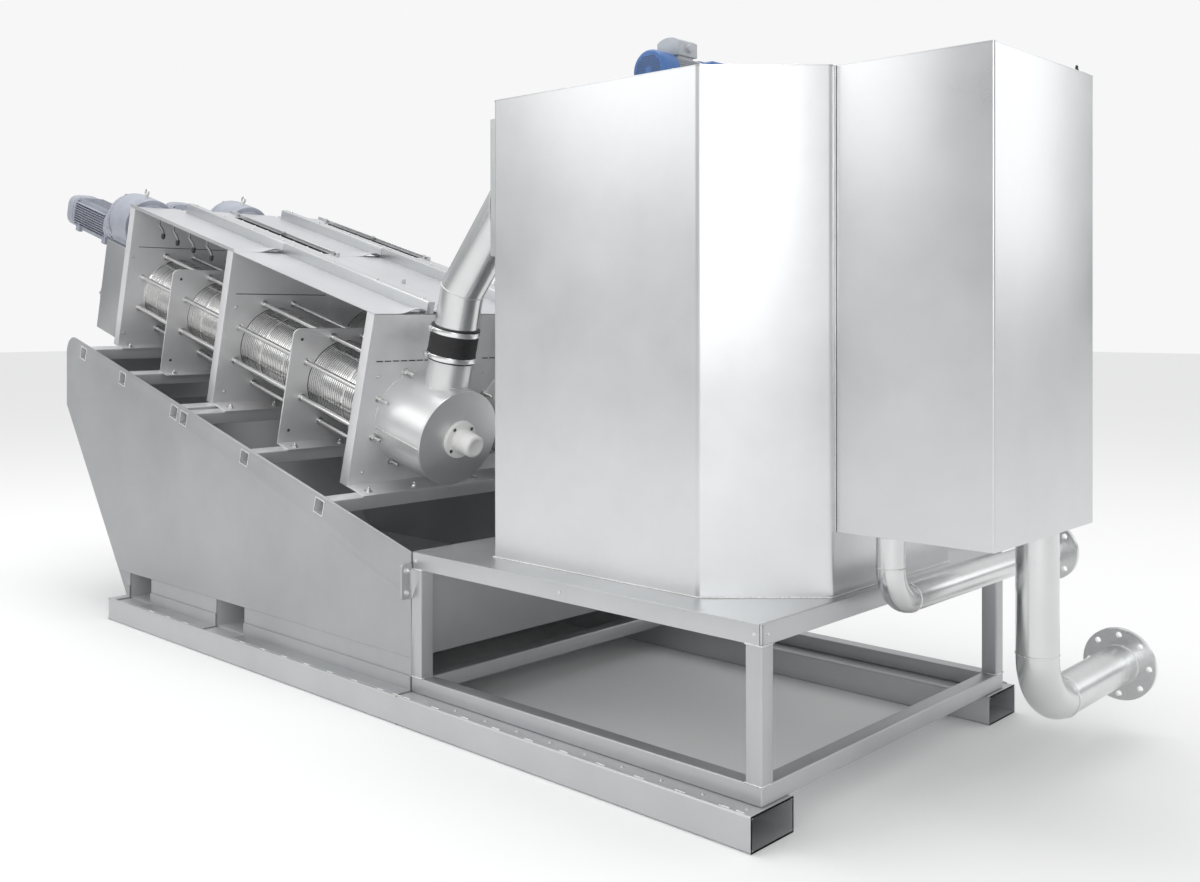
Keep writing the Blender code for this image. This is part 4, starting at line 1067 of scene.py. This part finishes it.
gear_bolts, fins = [], []
for side, tilt in unit_frames.items():
    off = -0.128
    shift = tilt @ Matrix.Translation((0, off, 0))
    body = bmesh.new()
    add_block(body, (-2.052, -0.100, 0.4505), (-1.8810, 0.100, 0.4655), shift, 0.0030)
    arch = [(0.123 * math.cos(math.radians(a)), 0.550 + 0.123 * math.sin(math.radians(a))) for a in range(-28, 209, 6)]
    arch += [(-0.098, 0.462), (0.098, 0.462)]
    add_prism(body, arch, -2.060, -1.9000, shift, 0.0060, 3)
    add_turned(body, [(-1.9020, 0), (-1.9020, 0.0980), (-1.8900, 0.0960), (-1.8870, 0.0900), (-1.8870, 0.0500), (-1.8850, 0.0480), (-1.8850, 0)], shift @ Matrix.Translation((0, 0, 0.552)), 48)
    for y in (-0.062, 0.062):
        add_prism(body, [(y - 0.005, 0.462), (y + 0.005, 0.462), (y + 0.005, 0.560), (y - 0.005, 0.560)], -2.0700, -1.8950, shift, 0.0020)
    flange = shift @ Matrix.Translation((0, 0, 0.545))
    add_turned(body, [(-2.0600, 0), (-2.0600, 0.1225), (-2.0625, 0.1250), (-2.0775, 0.1250), (-2.0800, 0.1225), (-2.0800, 0)], flange, 64)
    add_turned(body, [(-2.0790, 0), (-2.0790, 0.1180), (-2.0960, 0.1180), (-2.1020, 0.1120), (-2.1060, 0.1000), (-2.1060, 0)], flange, 64)
    bell = shift @ Matrix.Translation((0, 0, 0.500))
    add_turned(body, [(-2.0950, 0), (-2.0950, 0.0990), (-2.1100, 0.0930), (-2.1300, 0.0880), (-2.1700, 0.0860), (-2.1850, 0.0880), (-2.1900, 0.0860), (-2.1900, 0)], bell, 48)
    axis = shift @ Matrix.Translation((0, 0, 0.481))
    core = [(0.060 * squared(a)[0], 0.060 * squared(a)[1]) for a in steps(0, 2 * math.pi, 48)[:-1]]
    add_prism(body, core, -2.5500, -2.1850, axis)
    add_turned(body, [(-2.1850, 0), (-2.1850, 0.0780), (-2.1930, 0.0800), (-2.2030, 0.0800), (-2.2050, 0.0760), (-2.2050, 0)], axis, 48)
    hood = ((-2.5350, 0.0720), (-2.5370, 0.0745), (-2.5480, 0.0750), (-2.5495, 0.0720), (-2.5515, 0.0720), (-2.5530, 0.0755))
    hood += ((-2.6050, 0.0750), (-2.6180, 0.0715), (-2.6260, 0.0640), (-2.6290, 0.0520), (-2.6300, 0.0300))
    rings = []
    for x, reach in hood:
        rings.append([body.verts.new(axis @ Vector((x, reach * squared(a)[0], reach * squared(a)[1]))) for a in steps(0, 2 * math.pi, 56)[:-1]])
    body.faces.new(rings[0])
    body.faces.new(rings[-1])
    for low, high in zip(rings, rings[1:]):
        for i in range(56):
            body.faces.new([low[i], low[(i + 1) % 56], high[(i + 1) % 56], high[i]])
    add_block(body, (-2.4200, 0.040, 0.4410), (-2.3000, 0.118, 0.5210), shift, 0.0050, 3)
    add_block(body, (-2.4230, 0.116, 0.4390), (-2.2970, 0.1245, 0.5230), shift, 0.0030)
    gland = shift @ Matrix.Translation((-2.360, 0.090, 0.4430)) @ Matrix.Rotation(math.radians(90), 4, "Y")
    add_turned(body, [(-0.004, 0), (-0.004, 0.0130), (0.0100, 0.0130), (0.0110, 0.0110), (0.0240, 0.0110), (0.0250, 0.0090), (0.0250, 0)], gland, 12)
    for x in (-2.215, -2.500):
        for y in (-0.056, 0.056):
            add_block(body, (x - 0.018, y - 0.010, 0.395), (x + 0.018, y + 0.010, 0.440), shift, 0.0020)
    settle(shown(f"gearmotor_cast_{side}", made("gearmotor_cast", body), gear_paint), "grey_paint", f"gearmotor_{side}")
    eye = bmesh.new()
    add_turned(eye, [(0, 0), (0, 0.0120), (0.0040, 0.0120), (0.0060, 0.0070), (0.0120, 0.0065), (0.0120, 0)], shift @ Matrix.Translation((-1.975, 0, 0.6705)) @ Matrix.Rotation(math.radians(-90), 4, "Y"), 20)
    loop = [(-1.975 + 0.0145 * math.cos(math.radians(a)), 0.0, 0.6930 + 0.0145 * math.sin(math.radians(a))) for a in range(0, 360, 15)]
    loop_tube = []
    for i, point in enumerate(loop):
        a = math.radians(15 * i)
        out = Vector((math.cos(a), 0, math.sin(a)))
        loop_tube.append([eye.verts.new(shift @ (Vector(point) + out * (0.0042 * math.cos(b)) + Vector((0, 0.0042 * math.sin(b), 0)))) for b in steps(0, 2 * math.pi, 10)[:-1]])
    for low, high in zip(loop_tube, loop_tube[1:] + loop_tube[:1]):
        for i in range(10):
            eye.faces.new([low[i], low[(i + 1) % 10], high[(i + 1) % 10], high[i]])
    settle(shown(f"lifting_eye_{side}", made("lifting_eye", eye), bolt_steel), "bright_steel")
    for k in range(8):
        a = math.radians(22.5 + 45 * k)
        gear_bolts.append(shift @ facing((-2.0795, 0.1215 * math.cos(a) * 0.955, 0.545 + 0.1215 * math.sin(a) * 0.955), (-1, 0, 0)))
    for x in (-2.030, -1.905):
        for y in (-0.088, 0.088):
            gear_bolts.append(shift @ facing((x, y, 0.4650), (0, 0, 1)))
    for k in range(4):
        a = math.radians(45 + 90 * k)
        gear_bolts.append(axis @ facing((-2.2050, 0.0700 * math.cos(a), 0.0700 * math.sin(a)), (-1, 0, 0)))
    for k in range(4):
        for i in range(10):
            offset = -0.0525 + 0.01167 * i
            fins.append(axis @ Matrix.Rotation(math.pi / 2 * k, 4, "X") @ Matrix.Translation((-2.3700, offset, 0)))
placed("gearmotor_bolts", bolt_shape(0.014, 0.008, 0.0120), gear_bolts, bolt_steel)
fin = bmesh.new()
add_prism(fin, [(-0.0016, 0.050), (0.0016, 0.050), (0.0011, 0.0755), (-0.0011, 0.0755)], -0.1600, 0.1600, Matrix(), 0.0006, 1)
cooling = placed("motor_fins", made("fin", fin), fins, gear_paint, slot="grey_paint", uneven=0.004)

# Control tank: a tall tank of 4 mm stainless sheet, folded at six corners and welded on the deck, with a flat head
# box welded on its rear, where the feed pipes end. A loose-looking but screwed lid sheet closes its top.

tank_steel = stainless("satin_tank_steel", (0.70, 0.71, 0.715), 0.33, clouds=0.045, grain=820.0, depth=0.09)
lid_steel = stainless("satin_lid_steel", (0.66, 0.67, 0.67), 0.34, clouds=0.05)
softened("tank_shell", tank_steel, 0.010, along=Vector((0, 0, 1)), least=0.2, segments=5)
softened("tank_lid", lid_steel, 0.009, along=Vector((0, 0, 1)), least=0.002, segments=4)
TANK_CORNERS = ((-1.1036, 0.177), (-0.301, 0.177), (-0.040, 0.4195), (-0.040, 1.0675), (-0.301, 1.310), (-1.1036, 1.310))
middle = Vector((sum(x for x, y in TANK_CORNERS) / 6, sum(y for x, y in TANK_CORNERS) / 6))
foot_path = []
for x, y in TANK_CORNERS + TANK_CORNERS[:1]:
    out = (Vector((x, y)) - middle).normalized() * 0.0012
    foot_path.append(at(x + out.x, y + out.y, 0.5352))
head_path = [at(-1.1044, 0.3892, 1.481), at(-1.1044, 0.3892, 1.939), at(-1.1044, 1.0508, 1.939), at(-1.1044, 1.0508, 1.481), at(-1.1044, 0.3892, 1.481)]
weld("tank_foot_bead", [foot_path, head_path], bead_steel, width=0.0055, height=0.0042, pitch=0.0042)
lid_places = []
for (x0, y0), (x1, y1) in zip(TANK_CORNERS, TANK_CORNERS[1:] + TANK_CORNERS[:1]):
    run = Vector((x1 - x0, y1 - y0))
    inward = Vector((-run.y, run.x)).normalized() * 0.022
    count = max(2, round(run.length / 0.22))
    for i in range(count):
        share = (i + 0.5) / count
        lid_places.append(facing(at(x0 + run.x * share + inward.x, y0 + run.y * share + inward.y, 1.9471), (0, 0, 1)))
placed("lid_screws", bolt_shape(0.010, 0.004, 0.0085), lid_places, bolt_steel)

# Level box: a narrower box of the same sheet hung on the tank's front, with its own lid. A wing screw holds
# the lid's front edge, so that it can be lifted off by hand.

level_steel = stainless("satin_level_steel", (0.67, 0.68, 0.685), 0.31, clouds=0.045, grain=820.0, depth=0.09)
softened("level_box", level_steel, 0.0060, along=Vector((0, 0, 1)), least=0.2, segments=4)
softened("level_box_lid", lid_steel, 0.0055, along=Vector((0, 0, 1)), least=0.002, segments=4)
hang_path = [at(-0.0392, 0.4346, 1.943), at(-0.0392, 0.4346, 0.7085), at(-0.0392, 1.0504, 0.7085), at(-0.0392, 1.0504, 1.943)]
weld("level_box_bead", [hang_path], bead_steel, width=0.0045, height=0.0040, pitch=0.0040)
wing = bmesh.new()
add_turned(wing, [(0, 0), (0, 0.0095), (0.0015, 0.0095), (0.0020, 0.0060), (0.0110, 0.0052), (0.0120, 0.0040), (0.0200, 0.0040), (0.0210, 0.0030), (0.0210, 0)], Matrix(), 18)
for way in (-1, 1):
    blade = [(0.0035, 0.003), (0.0080, 0.002), (0.0190, 0.011), (0.0200, 0.017), (0.0150, 0.0205), (0.0085, 0.015), (0.0040, 0.011)]
    outline = [(way * y, z) for y, z in blade]
    rings = [[wing.verts.new(Vector((z, y, x))) for y, z in outline] for x in (-0.0016, 0.0016)]
    wing.faces.new(rings[0])
    wing.faces.new(rings[1])
    for i in range(len(outline)):
        j = (i + 1) % len(outline)
        wing.faces.new([rings[0][i], rings[0][j], rings[1][j], rings[1][i]])
wing_places = [facing(at(0.3840, 0.985, 1.9472), (0, 0, 1), 0.35)]
placed("wing_screws", made("wing", wing), wing_places, nozzle_plastic, slot="rubber")
cleats = bmesh.new()
add_block(cleats, (0.366, 0.969, 1.9470), (0.4040, 1.001, 1.9490), Matrix.Translation(at(0, 0, 0)), 0.0006, 1)
settle(shown("level_box_cleat", made("level_box_cleat", cleats), lid_steel), "steel")

# Mixer drive: a small worm gearmotor lying across the tank's lid. Its blue fan cover is pressed sheet with a
# perforated end, its body is ribbed grey aluminium, and a pale terminal box stands on it.

mixer_blue = bpy.data.materials.new("blue_machine_paint")
mixer_blue.use_nodes = True
enamel(mixer_blue, (0.030, 0.110, 0.330), (0.045, 0.150, 0.400), 0.38)
mixer_grey = bpy.data.materials.new("pale_grey_enamel")
mixer_grey.use_nodes = True
enamel(mixer_grey, (0.400, 0.430, 0.460), (0.480, 0.500, 0.530), 0.42)
lying = Matrix.Translation(at(-0.790, 0, 2.052)) @ Matrix.Rotation(math.radians(90), 4, "Z")
body = bmesh.new()
hood = [(0.5450, 0), (0.5450, 0.0560), (0.5465, 0.0610), (0.5500, 0.0645), (0.5550, 0.0660), (0.6230, 0.0660), (0.6250, 0.0645), (0.6250, 0)]
add_turned(body, hood, lying, 64)
add_block(body, (0.7800, -0.085, -0.1041), (0.9300, 0.085, -0.0911), lying, 0.0030)
add_block(body, (0.7950, -0.060, -0.0960), (0.9150, 0.060, 0.0610), lying, 0.0120, 4)
add_turned(body, [(0.7850, 0), (0.7850, 0.0620), (0.7880, 0.0640), (0.7980, 0.0640), (0.8010, 0.0600), (0.8010, 0)], lying, 48)
add_turned(body, [(0.0600, 0), (0.0600, 0.0380), (0.0660, 0.0360), (0.0680, 0.0300), (0.0680, 0)], Matrix.Translation(at(-0.790, 0.855, 2.046)), 40)
add_turned(body, [(-0.0600, 0), (-0.0600, 0.0380), (-0.0660, 0.0360), (-0.0680, 0.0300), (-0.0680, 0)], Matrix.Translation(at(-0.790, 0.855, 2.046)), 40)
settle(shown("mixer_castings", made("mixer_castings", body), mixer_blue), "blue_paint", "mixer_motor")
body = bmesh.new()
add_turned(body, [(0.6150, 0), (0.6150, 0.0520), (0.7900, 0.0520), (0.7900, 0)], lying, 48)
add_turned(body, [(0.7650, 0), (0.7650, 0.0580), (0.7680, 0.0600), (0.7840, 0.0600), (0.7860, 0.0580), (0.7860, 0)], lying, 48)
add_block(body, (0.6500, -0.036, 0.0420), (0.7250, 0.036, 0.0620), lying, 0.0030)
crown = [(-0.045, 0.0580), (0.045, 0.0580), (0.045, 0.1040)]
crown += [(0.045 * math.cos(math.radians(a)), 0.0960 + 0.0215 * math.sin(math.radians(a))) for a in range(24, 157, 12)]
crown += [(-0.045, 0.1040)]
add_prism(body, crown, 0.6400, 0.7350, lying, 0.0030)
gland = Matrix.Translation(at(-0.790 + 0.0430, 0.6875, 2.052 + 0.082))
add_turned(body, [(0, 0), (0, 0.0150), (0.0040, 0.0150), (0.0050, 0.0125), (0.0140, 0.0125), (0.0150, 0.0105), (0.0150, 0)], gland, 24)
settle(shown("mixer_motor_body", made("mixer_motor_body", body), mixer_grey), "grey_paint", "mixer_motor")
rib = bmesh.new()
add_prism(rib, [(-0.0013, 0.049), (0.0013, 0.049), (0.0008, 0.0598), (-0.0008, 0.0598)], 0.6270, 0.7640, Matrix(), 0.0004, 1)
mixer_ribs = [lying @ Matrix.Rotation(math.radians(10 * i), 4, "X") for i in range(36) if not 40 < (10 * i + 90) % 360 < 40]
placed("mixer_fins", made("rib", rib), mixer_ribs, mixer_grey, slot="grey_paint")
hole = bmesh.new()
add_turned(hole, [(-0.0004, 0), (-0.0004, 0.0022), (0.0003, 0.0020), (0.0003, 0)], Matrix(), 8)
hole_places = []
for row in range(-8, 9):
    for column in range(-8, 9):
        x, z = (column + 0.5 * (row % 2)) * 0.0062, row * 0.0054
        if 0.012 < math.hypot(x, z) < 0.050:
            hole_places.append(facing(at(-0.790 + x, 0.5450, 2.052 + z), (0, -1, 0), 0.0))
placed("fan_cover_holes", made("hole", hole), hole_places, nozzle_plastic, slot="rubber", smooth=0)
mixer_bolts = [facing(at(-0.790 + x, y, 1.9620 - 0.0002), (0, 0, 1)) for x in (-0.073, 0.073) for y in (0.795, 0.915)]
for k in range(4):
    a = math.radians(45 + 90 * k)
    mixer_bolts.append(facing(at(-0.790 + 0.050 * math.cos(a), 0.7652, 2.052 + 0.050 * math.sin(a)), (0, -1, 0)))
placed("mixer_bolts", bolt_shape(0.010, 0.006, 0.0090), mixer_bolts, bolt_steel)

# Drain and overflow pipes: two stainless pipes that leave the level box's bottom, turn in a pressed elbow, and run
# to the far side, where each ends in a drilled flange. Every joint is a round TIG weld left as it is.

drain_steel = stainless("drawn_drain_steel", (0.69, 0.70, 0.70), 0.25, clouds=0.06, grain=900.0, depth=0.07)


def elbow(x, y, level_z, bend, top, end, count=18):
    """Ring centres and directions of a pipe that drops, turns, and runs to the far side."""
    stations = [(at(x, y, top), Vector((0, 1, 0)))]
    for i in range(count + 1):
        a = math.pi / 2 * i / count
        place = at(x, y + bend * (1 - math.cos(a)), level_z + bend * (1 - math.sin(a)))
        stations.append((place, Vector((0, math.cos(a), math.sin(a)))))
    stations.append((at(x, end, level_z), Vector((0, 0, 1))))
    return stations


def drilled(name, mesh, holes, finish):
    """The flange with its bolt holes bored by one exact cut, as a plain mesh."""
    cutter = bpy.data.objects.new(name + "_drill", holes)
    target = bpy.data.objects.new(name + "_blank", mesh)
    for piece in (cutter, target):
        bpy.context.scene.collection.objects.link(piece)
    bore = target.modifiers.new("bore", "BOOLEAN")
    bore.operation = "DIFFERENCE"
    bore.solver = "EXACT"
    bore.object = cutter
    result = bpy.data.meshes.new_from_object(target.evaluated_get(bpy.context.evaluated_depsgraph_get()))
    target.modifiers.clear()
    bpy.data.objects.remove(target, do_unlink=True)
    bpy.data.objects.remove(cutter, do_unlink=True)
    return shown(name, result, finish, 30)


pipe_runs = (
    ("drain", 0.316, 0.885, 0.208, 0.05715, 0.0040, 0.152, 0.1100, 8, 0.0900),
    ("overflow", 0.0956, 0.487, 0.529, 0.03805, 0.0030, 0.095, 0.0925, 4, 0.0725),
)
drain_beads = []
for name, x, y, level_z, radius, wall, bend, flange_radius, count, bolt_circle in pipe_runs:
    body = bmesh.new()
    side_way = Vector((1, 0, 0))
    path = elbow(x, y, level_z, bend, 0.7077, 1.494)
    inside = elbow(x, y, level_z, bend, 0.7070, 1.4939)
    rings = []
    for stations, r in ((path, radius), (inside, radius - wall)):
        rows = []
        for centre, across in stations:
            rows.append([body.verts.new(centre + side_way * (r * math.cos(a)) + across * (r * math.sin(a))) for a in steps(0, 2 * math.pi, 64)[:-1]])
        rings.append(rows)
    outer, inner = rings
    for rows in rings:
        for low, high in zip(rows, rows[1:]):
            for i in range(64):
                j = (i + 1) % 64
                body.faces.new([low[i], low[j], high[j], high[i]])
    for low, high in ((outer[0], inner[0]), (outer[-1], inner[-1])):
        for i in range(64):
            j = (i + 1) % 64
            body.faces.new([low[i], low[j], high[j], high[i]])
    settle(shown(f"{name}_line", made(name, body), drain_steel), "bright_steel", f"{name}_pipe")
    across_y = Matrix.Translation(at(x, 0, level_z)) @ Matrix.Rotation(math.radians(90), 4, "Z")
    blank = bmesh.new()
    r = radius + 0.0004
    ring = [(1.4800, r), (1.4800, flange_radius - 0.0010), (1.4810, flange_radius), (1.4935, flange_radius), (1.4945, flange_radius - 0.001)]
    ring += [(1.4945, flange_radius * 0.78), (1.4960, flange_radius * 0.775), (1.4960, r)]
    add_turned(blank, ring, across_y, 96, closed=True)
    drill = bmesh.new()
    for k in range(count):
        a = math.pi / 2 + 2 * math.pi * k / count + (math.pi / 4 if count == 4 else 0)
        spot = across_y @ Matrix.Translation((0, bolt_circle * math.cos(a), bolt_circle * math.sin(a)))
        add_turned(drill, [(1.46, 0), (1.46, 0.009), (1.52, 0.009), (1.52, 0)], spot, 20)
    flange = drilled(f"{name}_flange", made("blank", blank), made("drill", drill), drain_steel)
    settle(flange, "bright_steel", f"{name}_pipe")
    around = steps(0, 2 * math.pi, 56)
    for place, across in (path[0], path[1], path[-2], (at(x, 1.4795, level_z), Vector((0, 0, 1)))):
        drop = Vector((0, 0, -0.0012)) if place == path[0][0] else Vector((0, 0, 0))
        grown = radius + 0.0006
        drain_beads.append([place + drop + side_way * (grown * math.cos(a)) + across * (grown * math.sin(a)) for a in around])
weld("drain_beads", drain_beads, bead_steel, width=0.0044, height=0.0026, pitch=0.0032)

# Studio: a plain pale floor, an even white surround that is brighter above, and four wide soft lamps.

floor_mesh = bpy.data.meshes.new("studio_floor")
floor_mesh.from_pydata([(-40, -40, -0.001), (40, -40, -0.001), (40, 40, -0.001), (-40, 40, -0.001)], [], [(0, 1, 2, 3)])
pale = bpy.data.materials.new("pale_floor")
pale.use_nodes = True
speck = pale.node_tree.nodes.new("ShaderNodeTexNoise")
speck.inputs["Scale"].default_value = 0.6
shade = pale.node_tree.nodes.new("ShaderNodeValToRGB")
shade.color_ramp.elements[0].color = (0.90, 0.90, 0.90, 1)
shade.color_ramp.elements[1].color = (0.93, 0.93, 0.93, 1)
pale.node_tree.links.new(speck.outputs["Fac"], shade.inputs["Fac"])
pale.node_tree.links.new(shade.outputs["Color"], pale.node_tree.nodes["Principled BSDF"].inputs["Base Color"])
pale.node_tree.nodes["Principled BSDF"].inputs["Roughness"].default_value = 0.9
floor = shown("studio_floor", floor_mesh, pale, 0)

world = bpy.data.worlds.new("studio")
bpy.context.scene.world = world
bpy.context.scene.view_settings.view_transform = "Standard"
world.use_nodes = True
nodes, links = world.node_tree.nodes, world.node_tree.links
sky = nodes["Background"]
aim = nodes.new("ShaderNodeTexCoord")
split = nodes.new("ShaderNodeSeparateXYZ")
rise = nodes.new("ShaderNodeValToRGB")
rise.color_ramp.interpolation = "EASE"
rise.color_ramp.elements[0].position = 0.46
rise.color_ramp.elements[0].color = (0.40, 0.41, 0.42, 1)
rise.color_ramp.elements[1].position = 0.80
rise.color_ramp.elements[1].color = (1.0, 1.0, 1.0, 1)
half = nodes.new("ShaderNodeMapRange")
half.inputs["From Min"].default_value = -1.0
half.inputs["From Max"].default_value = 1.0
links.new(aim.outputs["Generated"], split.inputs["Vector"])
links.new(split.outputs["Z"], half.inputs["Value"])
links.new(half.outputs["Result"], rise.inputs["Fac"])
links.new(rise.outputs["Color"], sky.inputs["Color"])
sky.inputs["Strength"].default_value = 0.92
backdrop = nodes.new("ShaderNodeBackground")
backdrop.inputs["Color"].default_value = (0.93, 0.93, 0.93, 1)
seen = nodes.new("ShaderNodeLightPath")
blend = nodes.new("ShaderNodeMixShader")
links.new(seen.outputs["Is Camera Ray"], blend.inputs[0])
links.new(sky.outputs["Background"], blend.inputs[1])
links.new(backdrop.outputs["Background"], blend.inputs[2])
links.new(blend.outputs["Shader"], nodes["World Output"].inputs["Surface"])


def lamp(name, place, target, size, power):
    """A wide soft lamp aimed at a point."""
    light = bpy.data.lights.new(name, "AREA")
    light.shape = "RECTANGLE"
    light.size, light.size_y = size
    light.energy = power
    holder = bpy.data.objects.new(name, light)
    bpy.context.scene.collection.objects.link(holder)
    holder.location = place
    holder.rotation_euler = (Vector(target) - Vector(place)).to_track_quat("-Z", "Y").to_euler()


lamp("lamp_left", (-3.8, -6.8, 4.4), (-0.4, 0, 0.9), (5.0, 3.6), 80)
lamp("lamp_behind", (6.8, -6.4, 3.0), (0.8, 0, 1.0), (3.5, 2.5), 110)
lamp("lamp_right", (6.6, 6.0, 3.0), (0.8, 0, 1.0), (4.5, 3.0), 50)
lamp("lamp_top", (-0.5, -0.5, 6.0), (-0.6, 0.0, 0.5), (5.0, 3.0), 120)

camera_lens = bpy.data.cameras.new("camera")
camera_lens.sensor_width = 36
camera_lens.lens = 36.87
camera_lens.shift_y = -0.105
camera = bpy.data.objects.new("camera", camera_lens)
bpy.context.scene.collection.objects.link(camera)
camera.location = at(1.7293, -2.3789, 1.2833)
camera.rotation_euler = (math.radians(90), 0, math.radians(43))
bpy.context.scene.camera = camera
